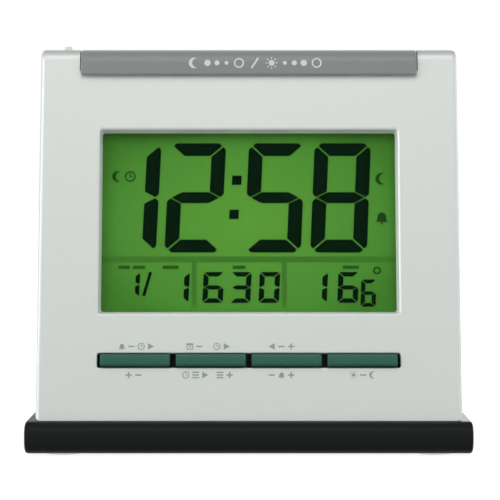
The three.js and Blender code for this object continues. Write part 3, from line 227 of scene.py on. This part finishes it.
def plastic(name, colour, roughness, mottle=0.02, grain=0.004, specular=0.5):
    shader = Shader(name, colour, roughness, specular=specular)
    shader.mottle(mottle)
    shader.rub(roughness - 0.02, roughness + 0.02)
    shader.grain(grain)
    return shader.material


def case_material():
    """Silver-painted plastic: fine bright specks in a pale coat of metal flake."""
    colour = linear(212, 217, 213)
    shader = Shader("case_silver", colour, 0.46, metallic=0.38, specular=0.25)
    specks = [(0.38, scaled(colour, 0.975)), (0.62, scaled(colour, 1.02))]
    shader.drive("Base Color", shader.ramp(shader.noise(scale=5200), specks))
    shader.rub(0.43, 0.5, scale=320)
    shader.grain(0.002, scale=3800)
    return shader.material


def display_material():
    """Display glass in green, brighter in the middle and darker at the rim: painted light from behind, with
    painted shade at the window's edges. The same colour also drives a weak painted glow.
    """
    glow_across = mm(44)
    glow_up = mm(30)
    painted_glow_strength = 0.13
    low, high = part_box("lcd_panel")
    shader = Shader("display_green", linear(78, 145, 52), 0.4, specular=0.04)
    offset = shader.vector("SUBTRACT", shader.place, (low + high) / 2)
    shares = shader.vector("MULTIPLY", offset, (1 / glow_across, 0, 1 / glow_up))
    reach = shader.vector("LENGTH", shares)
    # Painted light and shade: brighter in the middle, darker towards the rim, where the window's edges shade it
    glow = shader.ramp(reach, [
        (0.0, linear(94, 160, 56)),
        (0.45, linear(86, 152, 54)),
        (0.8, linear(77, 144, 50)),
        (1.0, linear(66, 128, 41)),
    ])
    shader.drive("Base Color", glow)
    # A weak painted glow in the same colour
    shader.drive("Emission Color", glow)
    shader.set("Emission Strength", painted_glow_strength)
    return shader.material


def lens_material():
    """Clear acrylic that shows what is behind it and mirrors a little at its surface."""
    shader = Shader("lens_clear", linear(250, 252, 250), 0.03, metallic=1.0)
    edge = shader.add("ShaderNodeFresnel")
    edge.inputs["IOR"].default_value = 1.1
    shader.drive("Alpha", edge.outputs["Fac"])
    return shader.material


def ends_of_cell(node):
    """Where a cell's flat end and its raised end lie along X: the raised end is the narrower one."""
    tip_length = mm(0.2)
    low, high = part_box(node)
    middle = (low + high) / 2

    def spread(tip):
        near = [v.co for v in nodes[node].data.vertices if abs(v.co.x - tip) < tip_length]
        return max(math.hypot(point.y - middle.y, point.z - middle.z) for point in near)

    return (low.x, high.x) if spread(high.x) < spread(low.x) else (high.x, low.x)


def cell_material(node):
    """Dark film round the can, a copper band at the raised end and bare metal at both ends."""
    steel = linear(198, 198, 194)
    film = linear(40, 44, 48)
    copper = linear(186, 118, 62)
    white = linear(255, 255, 255)
    black = linear(0, 0, 0)
    flat, raised = ends_of_cell(node)
    length = abs(raised - flat)
    film_starts = mm(1.1) / length
    copper_starts = 1 - mm(13) / length
    cap_starts = 1 - mm(2.2) / length
    shader = Shader(f"{node}_wrap", film, 0.3)
    parts = shader.add("ShaderNodeSeparateXYZ")
    shader.link(shader.place, parts.inputs["Vector"])
    along = shader.remap(parts.outputs["X"], (flat, raised), (0, 1))
    wrap = [(0.0, steel), (film_starts, film), (copper_starts, copper), (cap_starts, steel)]
    bare = [(0.0, white), (film_starts, black), (cap_starts, white)]
    shader.drive("Base Color", shader.ramp(along, wrap, "CONSTANT"))
    shader.drive("Metallic", shader.ramp(along, bare, "CONSTANT"))
    shader.rub(0.28, 0.32, scale=500)
    return shader.material


def soft_touch(name, colour, roughness):
    """Matt coating that catches light at its edges."""
    shader = Shader(name, colour, roughness)
    shader.mottle(0.015)
    shader.grain(0.001)
    shader.set("Sheen Weight", 0.9)
    shader.set("Sheen Roughness", 0.4)
    return shader.material


def metal(name, colour, roughness):
    shader = Shader(name, colour, roughness, metallic=1.0)
    shader.mottle(0.04, scale=300)
    shader.rub(roughness - 0.06, roughness + 0.08, scale=900)
    shader.grain(0.002, scale=2700)
    return shader.material


def silicone(name, colour):
    shader = Shader(name, colour, 0.6, specular=0.3)
    shader.mottle(0.06, scale=200)
    shader.grain(0.004, scale=1800, detail=4.0)
    return shader.material


def clear_rubber(name, colour, share):
    """Cast polyurethane that hides only a share of what is behind it."""
    shader = Shader(name, colour, 0.3)
    shader.set("Alpha", share)
    return shader.material


def ink(name, colour, roughness=0.5, specular=0.3):
    shader = Shader(name, colour, roughness, specular=specular)
    shader.mottle(0.05, scale=600)
    return shader.material


def display_ink(name, colour):
    return ink(name, colour, 0.6, 0.0)


materials = {
    "case_silver": case_material(),
    "plinth_black": plastic("plinth_black", linear(29, 33, 31), 0.34, grain=0.001, specular=0.05),
    "foot_rubber": clear_rubber("foot_rubber", linear(226, 230, 228), 0.3),
    "bar_grey": soft_touch("bar_grey", linear(127, 132, 132), 0.42),
    "key_green": plastic("key_green", linear(51, 102, 84), 0.36, grain=0.001, specular=0.16),
    "lens_clear": lens_material(),
    "display_green": display_material(),
    "frame_white": plastic("frame_white", linear(232, 232, 226), 0.45),
    "guide_clear": plastic("guide_clear", linear(214, 240, 190), 0.3),
    "film_white": plastic("film_white", linear(240, 240, 236), 0.6),
    "silicone_grey": silicone("silicone_grey", linear(186, 188, 184)),
    "board_green": plastic("board_green", linear(34, 92, 52), 0.4, mottle=0.06, grain=0.006),
    "resin_black": plastic("resin_black", linear(18, 18, 20), 0.35, mottle=0.05, grain=0.01),
    "screw_steel": metal("screw_steel", linear(196, 198, 200), 0.32),
    "contact_nickel": metal("contact_nickel", linear(206, 204, 198), 0.26),
    "sleeve_red": plastic("sleeve_red", linear(168, 28, 26), 0.5),
    "sleeve_black": plastic("sleeve_black", linear(22, 22, 24), 0.5),
    "ribbon_grey": plastic("ribbon_grey", linear(168, 172, 176), 0.5),
    "disc_brass": metal("disc_brass", linear(204, 168, 86), 0.34),
}


def paint(obj, material):
    obj.data.materials.clear()
    obj.data.materials.append(material)


def finish_of(node):
    """The material of a node: each cell has its own, because they lie opposite ways."""
    return cell_material(node) if node.startswith("battery_cell") else materials[slot_of_node[node]]


# Pieces with soft moulded edges

sharp_angle = math.radians(34)
flat_angle = math.radians(0.4)
same_point = 0.002
same_plane = 0.02
window_rim = 0.6
key_slot_rim = 0.35
key_slot_margin = 1.0
rim_segments = 4
edge_segments = 2

edge_of_node = {
    "front_case": 0.12,
    "rear_case": 0.12,
    "plinth": 0.15,
    "snooze_bar": 0.2,
    "battery_door": 0.15,
    "alarm_switch_knob": 0.12,
    **{key: 0.1 for key in key_names},
}
only_smoothed = ("battery_cell", "case_screw", "contact_", "foot_", "plinth_screw", "snooze_dome")

# The window lies within the lens, and the key slot just round the four keys
face_rims = [
    (reach_on_face("window_lens", min), reach_on_face("window_lens", max), window_rim),
    (
        reach_on_face(key_names[0], min, -key_slot_margin),
        reach_on_face(key_names[-1], max, key_slot_margin),
        key_slot_rim,
    ),
]


def rims_in_face(made, low, high):
    """Sharp edges in the plane of the face, within a rectangle given across and up the face in mm."""
    def inside(vertex):
        x, height, depth = from_face(vertex.co)
        return abs(depth) < same_plane and low[0] < x < high[0] and low[1] < height < high[1]

    return [line for line in made.edges if not line.smooth and all(inside(v) for v in line.verts)]


def solid_copy(node):
    """A node's mesh with its flat faces joined."""
    made = bmesh.new()
    made.from_mesh(nodes[node].data)
    bmesh.ops.remove_doubles(made, verts=made.verts, dist=mm(same_point))
    bmesh.ops.dissolve_limit(
        made, angle_limit=flat_angle, verts=made.verts[:], edges=made.edges[:], delimit={"NORMAL"}
    )
    return made


def shade(made):
    """Smooth faces, with edges kept sharp where they turn by more than sharp_angle."""
    for face in made.faces:
        face.smooth = True
    for line in made.edges:
        line.smooth = line.calc_face_angle(0) < sharp_angle


def shown(made, name, material):
    """The object made of a mesh."""
    mesh = bpy.data.meshes.new(name)
    made.to_mesh(mesh)
    made.free()
    piece = bpy.data.objects.new(name, mesh)
    bpy.context.scene.collection.objects.link(piece)
    paint(piece, material)
    return piece


def stand_in(made, name, node):
    """The object made of a mesh that is shown in place of a node."""
    piece = shown(made, name, finish_of(node))
    attributes = piece.data.attributes
    for attribute in ("custom_normal", "sharp_face"):
        if attribute in attributes:
            attributes.remove(attributes[attribute])
    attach(piece, body_of_node[node])
    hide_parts(node)
    return piece


def dressed(node, edge, rims=()):
    """A copy of a solid with its flat faces joined and its sharp edges rounded by edge, in mm.

    Edges within a rectangle of rims are rounded by the size that goes with it.
    """
    made = solid_copy(node)
    shade(made)
    widest = max((size for _, _, size in rims), default=0.0)
    if rims:
        weight = made.edges.layers.float.new("bevel_weight_edge")
        for low, high, size in rims:
            for line in rims_in_face(made, low, high):
                line[weight] = size / widest
                line.smooth = True
    piece = stand_in(made, f"{node}_finished", node)
    if rims:
        softening = piece.modifiers.new("rims", "BEVEL")
        softening.width = mm(widest)
        softening.segments = rim_segments
        softening.limit_method = "WEIGHT"
        softening.use_clamp_overlap = False
    if edge:
        bevel = piece.modifiers.new("edges", "BEVEL")
        bevel.width = mm(edge)
        bevel.segments = edge_segments
        bevel.limit_method = "ANGLE"
        bevel.angle_limit = sharp_angle
        bevel.harden_normals = True
        bevel.use_clamp_overlap = True
    weighted = piece.modifiers.new("normals", "WEIGHTED_NORMAL")
    weighted.keep_sharp = True
    return piece


finished = {}
for name in sorted(nodes):
    if name == "front_case":
        finished[name] = dressed(name, edge_of_node[name], face_rims)
    elif name in edge_of_node:
        finished[name] = dressed(name, edge_of_node[name])
    elif name.startswith(only_smoothed):
        finished[name] = dressed(name, 0.0)
    elif name != "key_pad":
        paint(nodes[name], materials[slot_of_node[name]])


# Rubber domes under the keys and the snooze bar

pad_end = 1.0
pad_skin = 0.05


def flatten(piece):
    """Gives a dome a mesh of its own."""
    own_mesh(piece)


def pad_piece(name, wanted):
    """The faces of the key pad whose middle is wanted, given across and behind the face in mm, closed."""
    made = solid_copy("key_pad")

    def is_wanted(face):
        x, _, depth = from_face(face.calc_center_median())
        return wanted(x, depth)

    others = [face for face in made.faces if not is_wanted(face)]
    bmesh.ops.delete(made, geom=others, context="FACES")
    bmesh.ops.holes_fill(made, edges=[line for line in made.edges if line.is_boundary], sides=0)
    bmesh.ops.recalc_face_normals(made, faces=made.faces[:])
    shade(made)
    return stand_in(made, name, "key_pad")


def soft_key_pad():
    """The pad as a strip and one dome for each key, each dome with a mesh of its own."""
    corners = corners_of("key_pad")
    left = min(x for x, _, _ in corners)
    front = min(depth for x, _, depth in corners if x < left + pad_end)
    level = front - pad_skin
    pad_piece("key_pad_strip", lambda x, depth: depth > level)
    for key in key_names:
        start = reach_on_face(key, min)[0]
        end = reach_on_face(key, max)[0]
        piece = pad_piece(f"{key}_dome", lambda x, depth: depth < level and start < x < end)
        flatten(piece)


soft_key_pad()
flatten(finished["snooze_dome"])


# Thin printed shapes, drawn on the face in mm

def circle(x, height, radius, sides, start=0.0, turn=2 * math.pi):
    """Points round a circle; a part circle also has its end point."""
    count = sides if turn == 2 * math.pi else sides + 1
    angles = [start + turn * k / sides for k in range(count)]
    return [(x + radius * math.cos(angle), height + radius * math.sin(angle)) for angle in angles]


class Print:
    """Flat shapes between two depths behind the face, as closed thin prisms."""

    def __init__(self, front, thickness, slant=0.0, foot=0.0):
        """Shapes lean over by slant, a share of their height over foot."""
        self.mesh = bmesh.new()
        self.front = front
        self.back = front + thickness
        self.slant = slant
        self.foot = foot

    def loop(self, points, depth):
        return [
            self.mesh.verts.new(on_face(x + self.slant * (height - self.foot), height, depth))
            for x, height in points
        ]

    def band(self, near, far):
        """Faces between two closed loops with as many corners."""
        for this in range(len(near)):
            after = (this + 1) % len(near)
            self.mesh.faces.new([near[after], near[this], far[this], far[after]])

    def polygon(self, points):
        front = self.loop(points, self.front)
        back = self.loop(points, self.back)
        self.mesh.faces.new(front)
        self.mesh.faces.new(list(reversed(back)))
        self.band(front, back)

    def ring(self, outer, inner):
        """A flat ring between two closed outlines with as many points."""
        outer_front = self.loop(outer, self.front)
        outer_back = self.loop(outer, self.back)
        inner_front = self.loop(inner, self.front)
        inner_back = self.loop(inner, self.back)
        self.band(inner_front, outer_front)
        self.band(outer_back, inner_back)
        self.band(outer_front, outer_back)
        self.band(inner_back, inner_front)

    def box(self, left, right, low, high):
        self.polygon([(left, low), (right, low), (right, high), (left, high)])

    def disc(self, x, height, radius, sides=20):
        self.polygon(circle(x, height, radius, sides))

    def hoop(self, x, height, radius, width, sides=24):
        self.ring(circle(x, height, radius, sides), circle(x, height, radius - width, sides))

    def stroke(self, start, end, width):
        """A straight bar of a given width from start to end."""
        run = Vector((end[0] - start[0], end[1] - start[1])).normalized() * width / 2
        aside = Vector((-run.y, run.x))
        self.polygon([
            (start[0] - aside.x, start[1] - aside.y),
            (end[0] - aside.x, end[1] - aside.y),
            (end[0] + aside.x, end[1] + aside.y),
            (start[0] + aside.x, start[1] + aside.y),
        ])

    def finish(self, name, material, body):
        bmesh.ops.recalc_face_normals(self.mesh, faces=self.mesh.faces[:])
        piece = shown(self.mesh, name, material)
        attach(piece, body)


# Small signs, each drawn round its middle and about as wide and high as its size

def moon(art, x, height, size):
    radius = size / 2
    outside = circle(x, height, radius, 18, math.radians(60), math.radians(240))
    inside = circle(x + radius * 0.5, height, radius * 0.87, 14, math.radians(275), -math.radians(190))
    art.polygon(outside + inside)


def sun(art, x, height, size):
    rays = 8
    art.disc(x, height, size * 0.24)
    for k in range(rays):
        angle = 2 * math.pi * k / rays
        near, far = [
            (x + size * reach * math.cos(angle), height + size * reach * math.sin(angle))
            for reach in (0.34, 0.5)
        ]
        art.stroke(near, far, size * 0.09)


def bell(art, x, height, size):
    half = size / 2
    waist = height - size * 0.18
    rim = height - size * 0.32
    dome = circle(x, height + size * 0.05, half * 0.6, 12, 0, math.pi)
    right = [(x + half * 0.9, rim), (x + half * 0.62, waist)]
    left = [(x - half * 0.62, waist), (x - half * 0.9, rim)]
    art.polygon(right + dome + left)
    art.disc(x, height - size * 0.42, size * 0.09, 10)


def dial(art, x, height, size):
    art.hoop(x, height, size / 2, size * 0.12)
    art.stroke((x, height - size * 0.03), (x, height + size * 0.3), size * 0.1)
    art.stroke((x - size * 0.03, height), (x + size * 0.24, height), size * 0.1)


def next_arrow(art, x, height, size, way=1):
    art.polygon([
        (x - way * size * 0.4, height - size * 0.45),
        (x + way * size * 0.45, height),
        (x - way * size * 0.4, height + size * 0.45),
    ])


def back_arrow(art, x, height, size):
    next_arrow(art, x, height, size, -1)


def bars(art, x, height, size):
    for rise in (0.36, 0.0, -0.36):
        level = height + size * rise
        art.box(x - size * 0.45, x + size * 0.45, level - size * 0.09, level + size * 0.09)


def plus(art, x, height, size):
    thin = size * 0.1
    arm = size * 0.42
    art.polygon([
        (x - arm, height - thin), (x - thin, height - thin), (x - thin, height - arm),
        (x + thin, height - arm), (x + thin, height - thin), (x + arm, height - thin),
        (x + arm, height + thin), (x + thin, height + thin), (x + thin, height + arm),
        (x - thin, height + arm), (x - thin, height + thin), (x - arm, height + thin),
    ])


def minus(art, x, height, size):
    art.box(x - size * 0.42, x + size * 0.42, height - size * 0.1, height + size * 0.1)


def sheet_of_days(art, x, height, size):
    half = size * 0.44
    inside = half * 0.74
    head = height + inside * 0.45
    foot = height - inside
    low = height - half
    high = height + half
    art.ring(
        [(x - half, low), (x + half, low), (x + half, high), (x - half, high)],
        [(x - inside, foot), (x + inside, foot), (x + inside, head), (x - inside, head)],
    )
    art.box(x - half * 0.3, x + half * 0.3, height - half * 0.4, height)


# Figures of seven bars with mitred ends

bars_of_figure = {
    0: "abcdef", 1: "bc", 2: "abged", 3: "abgcd", 5: "afgcd", 6: "afgecd", 8: "abcdefg",
}


class Figure:
    """A seven-bar figure: its size, the widths of its bars, the cut of its corners and the gaps, in mm."""

    def __init__(self, width, height, upright, level, middle, cut, gap):
        self.width = width
        self.height = height
        self.upright = upright
        self.level = level
        self.middle = middle
        self.cut = cut
        self.gap = gap

    def top_bar(self):
        shoulder = self.cut / 2 + self.gap / 2
        slope = self.height - self.cut / 2 + self.gap / 2
        inner = self.upright + self.gap
        return [
            (shoulder, slope),
            (self.cut, self.height),
            (self.width - self.cut, self.height),
            (self.width - shoulder, slope),
            (self.width - inner, self.height - self.level),
            (inner, self.height - self.level),
        ]

    def high_right_bar(self):
        corner = self.cut / 2
        half_gap = self.gap / 2
        centre = self.height / 2
        inner = self.width - self.upright
        return [
            (self.width - corner + half_gap, self.height - corner - half_gap),
            (self.width, self.height - self.cut),
            (self.width, centre + corner + half_gap),
            (self.width - corner, centre + half_gap),
            (inner, centre + self.middle / 2 + half_gap),
            (inner, self.height - self.level - self.gap),
        ]

    def middle_bar(self):
        centre = self.height / 2
        half = self.middle / 2
        tip = self.cut / 2 + self.gap
        shoulder = self.upright + self.gap / 2
        return [
            (tip, centre),
            (shoulder, centre - half),
            (self.width - shoulder, centre - half),
            (self.width - tip, centre),
            (self.width - shoulder, centre + half),
            (shoulder, centre + half),
        ]

    def outlines(self):
        """The outline of each bar: a to f from the top round to the right, and g in the middle.

        Those below and at the left mirror the others.
        """
        def below(points):
            return [(x, self.height - height) for x, height in reversed(points)]

        def at_left(points):
            return [(self.width - x, height) for x, height in reversed(points)]

        top = self.top_bar()
        right = self.high_right_bar()
        return {
            "a": top,
            "b": right,
            "c": below(right),
            "d": below(top),
            "e": below(at_left(right)),
            "f": at_left(right),
            "g": self.middle_bar(),
        }

    def draw(self, art, value, left, bottom):
        outlines = self.outlines()
        for letter in bars_of_figure[value]:
            art.polygon([(left + x, bottom + height) for x, height in outlines[letter]])


# The display: each figure's value and left end, each sign's middle and size

lcd_front = front_of("lcd_panel")
segment_thickness = 0.05
segment_lift = 0.02
segment_front = lcd_front - segment_lift - segment_thickness
figure_slant = 0.045
deep_ink = display_ink("display_ink", linear(2, 26, 8))

time_bottom = 44.8
time_figure = Figure(14.9, 29.4, 3.75, 3.45, 2.95, 1.8, 0.28)
time_values = [(1, -39.3), (2, -22.2), (5, -1.25), (8, 16.1)]
colon_half = 1.25
colon_dots = [(-4.05, 64.2), (-4.35, 55.0)]

row_bottom = 31.4
row_figure = Figure(5.4, 8.2, 1.4, 1.2, 1.1, 0.6, 0.16)
row_values = [(1, -21.2), (6, -12.2), (3, -5.0), (0, 2.5), (1, 15.0), (6, 23.1)]
month_figure = Figure(3.8, 6.6, 1.15, 1.0, 0.95, 0.5, 0.14)
month_left = -32.6
month_rise = 1.6
slash_low = (-27.6, row_bottom + 1.8)
slash_high = (-26.1, row_bottom + 8.2)
slash_width = 0.8
tenths_figure = Figure(4.0, 7.2, 1.15, 1.0, 0.95, 0.5, 0.14)
tenths_left = 29.2
tenths_drop = 1.0

display_signs = [
    (moon, -34.6, 65.2, 3.0),
    (dial, -31.3, 65.2, 2.9),
    (moon, 35.0, 64.6, 3.2),
    (bell, 35.0, 54.2, 3.8),
]
degree_middle = (33.6, 40.0)
degree_radius = 1.05
degree_width = 0.45

label_low = 40.4
label_high = 41.3
label_ends = [(-34.2, -31.2), (-30.4, -27.2), (-22.6, -18.4), (-4.2, -0.9), (24.6, 28.9)]

divider_thickness = 0.015
divider_half_length = 38.9
divider_low = 42.15
divider_high = 43.75
post_low = 30.2
post_half_width = 0.65
post_middles = (-14.3, 9.3)


def time_figures():
    art = Print(segment_front, segment_thickness, figure_slant, time_bottom)
    for value, left in time_values:
        time_figure.draw(art, value, left, time_bottom)
    for x, height in colon_dots:
        art.box(x - colon_half, x + colon_half, height - colon_half, height + colon_half)
    art.finish("display_time_figures", deep_ink, "root")


def date_figures():
    """The month, a slash and the day, a plain number between the posts, and the temperature."""
    art = Print(segment_front, segment_thickness, figure_slant, row_bottom)
    month_figure.draw(art, 1, month_left, row_bottom + month_rise)
    art.stroke(slash_low, slash_high, slash_width)
    for value, left in row_values:
        row_figure.draw(art, value, left, row_bottom)
    tenths_figure.draw(art, 6, tenths_left, row_bottom - tenths_drop)
    art.finish("display_date_figures", deep_ink, "root")


def signs_on_display():
    art = Print(segment_front, segment_thickness)
    for draw, x, height, size in display_signs:
        draw(art, x, height, size)
    art.hoop(*degree_middle, degree_radius, degree_width, 16)
    faint_ink = display_ink("display_faint_ink", linear(30, 74, 24))
    art.finish("display_signs", faint_ink, "root")


def dividers():
    """The band under the time and the two posts that part the row below it."""
    art = Print(lcd_front - divider_thickness, divider_thickness)
    art.box(-divider_half_length, divider_half_length, divider_low, divider_high)
    for x in post_middles:
        art.box(x - post_half_width, x + post_half_width, post_low, divider_low)
    band_ink = display_ink("display_band_ink", linear(72, 133, 48))
    art.finish("display_dividers", band_ink, "root")


def labels():
    """Short bars over the row of figures."""
    art = Print(segment_front, segment_thickness)
    for left, right in label_ends:
        art.box(left, right, label_low, label_high)
    label_ink = display_ink("display_label_ink", linear(46, 98, 34))
    art.finish("display_labels", label_ink, "root")


time_figures()
date_figures()
signs_on_display()
dividers()
labels()


# Printed signs on the face, over and under the keys: each row's left end, middle height and signs

print_thickness = 0.03
print_depth = 1.2 * print_thickness
sign_size = 1.9
sign_step = 2.5
over_keys = 19.3
under_keys = 11.85
sign_rows = [
    (-33.8, over_keys, [bell, minus, dial, next_arrow]),
    (-16.2, over_keys, [sheet_of_days, minus]),
    (-9.2, over_keys, [dial, next_arrow]),
    (5.0, over_keys, [back_arrow, minus, plus]),
    (-32.0, under_keys, [plus, minus]),
    (-17.2, under_keys, [dial, bars, next_arrow]),
    (-8.4, under_keys, [bars, plus]),
    (5.0, under_keys, [minus, bell, plus]),
    (26.1, under_keys, [sun, minus, moon]),
]


def signs_by_keys():
    art = Print(-print_thickness, print_depth)
    for left, height, signs in sign_rows:
        for k, draw in enumerate(signs):
            draw(art, left + sign_size / 2 + k * sign_step, height, sign_size)
    sign_ink = ink("key_sign_ink", linear(150, 163, 156))
    art.finish("key_signs_print", sign_ink, "root")


signs_by_keys()


# Printed signs on the snooze bar: a moon and a sun, each with dots and a ring, and a stroke between them

bar_row = 94.6
moon_middle = -14.4
moon_size = 2.9
sun_middle = 6.0
sun_size = 3.2
dot_radii = (0.52, 0.68, 0.85)
dot_step = 2.5
dots_by_moon = -10.9
dots_by_sun = 9.5
ring_middles = (-2.6, 17.9)
ring_radius = 1.35
ring_width = 0.4
bar_stroke_low = (0.7, bar_row - 1.4)
bar_stroke_high = (2.5, bar_row + 1.4)
bar_stroke_width = 0.5


def signs_on_bar():
    art = Print(front_of("snooze_bar") - print_thickness, print_depth)
    moon(art, moon_middle, bar_row, moon_size)
    sun(art, sun_middle, bar_row, sun_size)
    for k, radius in enumerate(dot_radii):
        art.disc(dots_by_moon + dot_step * (len(dot_radii) - 1 - k), bar_row, radius)
        art.disc(dots_by_sun + dot_step * k, bar_row, radius)
    for x in ring_middles:
        art.hoop(x, bar_row, ring_radius, ring_width)
    art.stroke(bar_stroke_low, bar_stroke_high, bar_stroke_width)
    sign_ink = ink("snooze_sign_ink", linear(216, 217, 213))
    art.finish("snooze_signs_print", sign_ink, "snooze")


signs_on_bar()


# Camera, as the photograph was taken: almost level, from the front

image_size = 500
focal_pixels = 2390.7
sensor_width = 36
nearest_seen = 0.05
farthest_seen = 20
camera_distance = mm(624)
camera_fall = math.radians(1.5)
aim = Vector((mm(0.31), mm(-10), mm(52.48)))


def place_camera():
    way = Vector((0, math.cos(camera_fall), -math.sin(camera_fall)))
    data = bpy.data.cameras.new("camera")
    data.sensor_width = sensor_width
    data.lens = sensor_width * focal_pixels / image_size
    data.clip_start = nearest_seen
    data.clip_end = farthest_seen
    camera = bpy.data.objects.new("camera", data)
    camera.location = aim - way * camera_distance
    camera.rotation_euler = way.to_track_quat("-Z", "Y").to_euler()
    bpy.context.scene.collection.objects.link(camera)
    bpy.context.scene.camera = camera


place_camera()


# Soft lamps: place and diameter in metres, power in watts

lamps = {
    "key_lamp": ((-1.05, -1.0, 0.85), 0.6, 4.7),
    "top_lamp": ((0.0, -0.3, 0.5), 0.36, 0.9),
    "fill_lamp": ((0.7, -1.0, 0.5), 0.7, 1.4),
    "left_lamp": ((-0.9, -0.22, 0.25), 0.5, 2.4),
    "right_lamp": ((0.9, 0.1, 0.3), 0.6, 1.6),
    "back_lamp": ((0.3, 1.1, 0.25), 0.7, 2.6),
}
lamp_target = Vector((0, 0, mm(50)))


def add_lamp(name, place, size, power):
    data = bpy.data.lights.new(name, "AREA")
    data.shape = "DISK"
    data.size = size
    data.energy = power
    lamp = bpy.data.objects.new(name, data)
    lamp.location = place
    lamp.rotation_euler = (lamp_target - Vector(place)).to_track_quat("-Z", "Y").to_euler()
    bpy.context.scene.collection.objects.link(lamp)


for name, (place, size, power) in lamps.items():
    add_lamp(name, place, size, power)


# White surround: its strength at the horizon and overhead, as light and in mirrors

light_levels = (0.6, 0.2)
mirror_levels = (0.96, 0.05)
dimming_heights = (0.3, 0.9)


def surround():
    """White where the camera or a clear piece shows it; elsewhere it dims towards a darker ceiling."""
    world = bpy.data.worlds.new("surround")
    world.use_nodes = True
    sky = Nodes(world.node_tree)
    parts = sky.add("ShaderNodeSeparateXYZ")
    sky.link(sky.add("ShaderNodeTexCoord").outputs["Generated"], parts.inputs["Vector"])
    rise = sky.remap(parts.outputs["Z"], dimming_heights, (0, 1), interpolation_type="SMOOTHSTEP")
    glow = sky.add("ShaderNodeMix", data_type="FLOAT")
    sky.link(sky.on_rays("Is Glossy Ray"), glow.inputs["Factor"])
    sky.link(sky.remap(rise, (0, 1), light_levels), glow.inputs["A"])
    sky.link(sky.remap(rise, (0, 1), mirror_levels), glow.inputs["B"])
    white = sky.on_rays("Is Camera Ray", "Is Transmission Ray")
    backdrop = sky.tree.nodes["Background"]
    backdrop.inputs["Color"].default_value = (1, 1, 1, 1)
    sky.link(sky.both("MAXIMUM", glow.outputs["Result"], white), backdrop.inputs["Strength"])
    bpy.context.scene.world = world


surround()


# Pale floor

floor_half = 6.0
floor_colour = (0.28, 0.28, 0.28, 1)
fade_reach = (mm(70), mm(320))
fade_levels = (0.9, 1.0)


def floor_material():
    """Pale and matt; the camera, gloss and glass also see it glow, up to plain white away from the clock."""
    shader = Shader("floor", floor_colour, 0.9, specular=0.0)
    reach = shader.vector("LENGTH", shader.place)
    fade = shader.remap(reach, fade_reach, fade_levels, interpolation_type="SMOOTHSTEP")
    seen = shader.on_rays("Is Camera Ray", "Is Glossy Ray", "Is Transmission Ray")
    glow = shader.add("ShaderNodeEmission")
    shader.link(shader.both("MULTIPLY", fade, seen), glow.inputs["Strength"])
    total = shader.add("ShaderNodeAddShader")
    shader.link(shader.surface.outputs["BSDF"], total.inputs[0])
    shader.link(glow.outputs["Emission"], total.inputs[1])
    shader.link(total.outputs["Shader"], shader.tree.nodes["Material Output"].inputs["Surface"])
    return shader.material


def floor():
    made = bmesh.new()
    corners = [(-1, -1), (1, -1), (1, 1), (-1, 1)]
    made.faces.new([made.verts.new((x * floor_half, y * floor_half, 0)) for x, y in corners])
    shown(made, "floor", floor_material())


floor()

bpy.context.scene.view_settings.view_transform = "Standard"
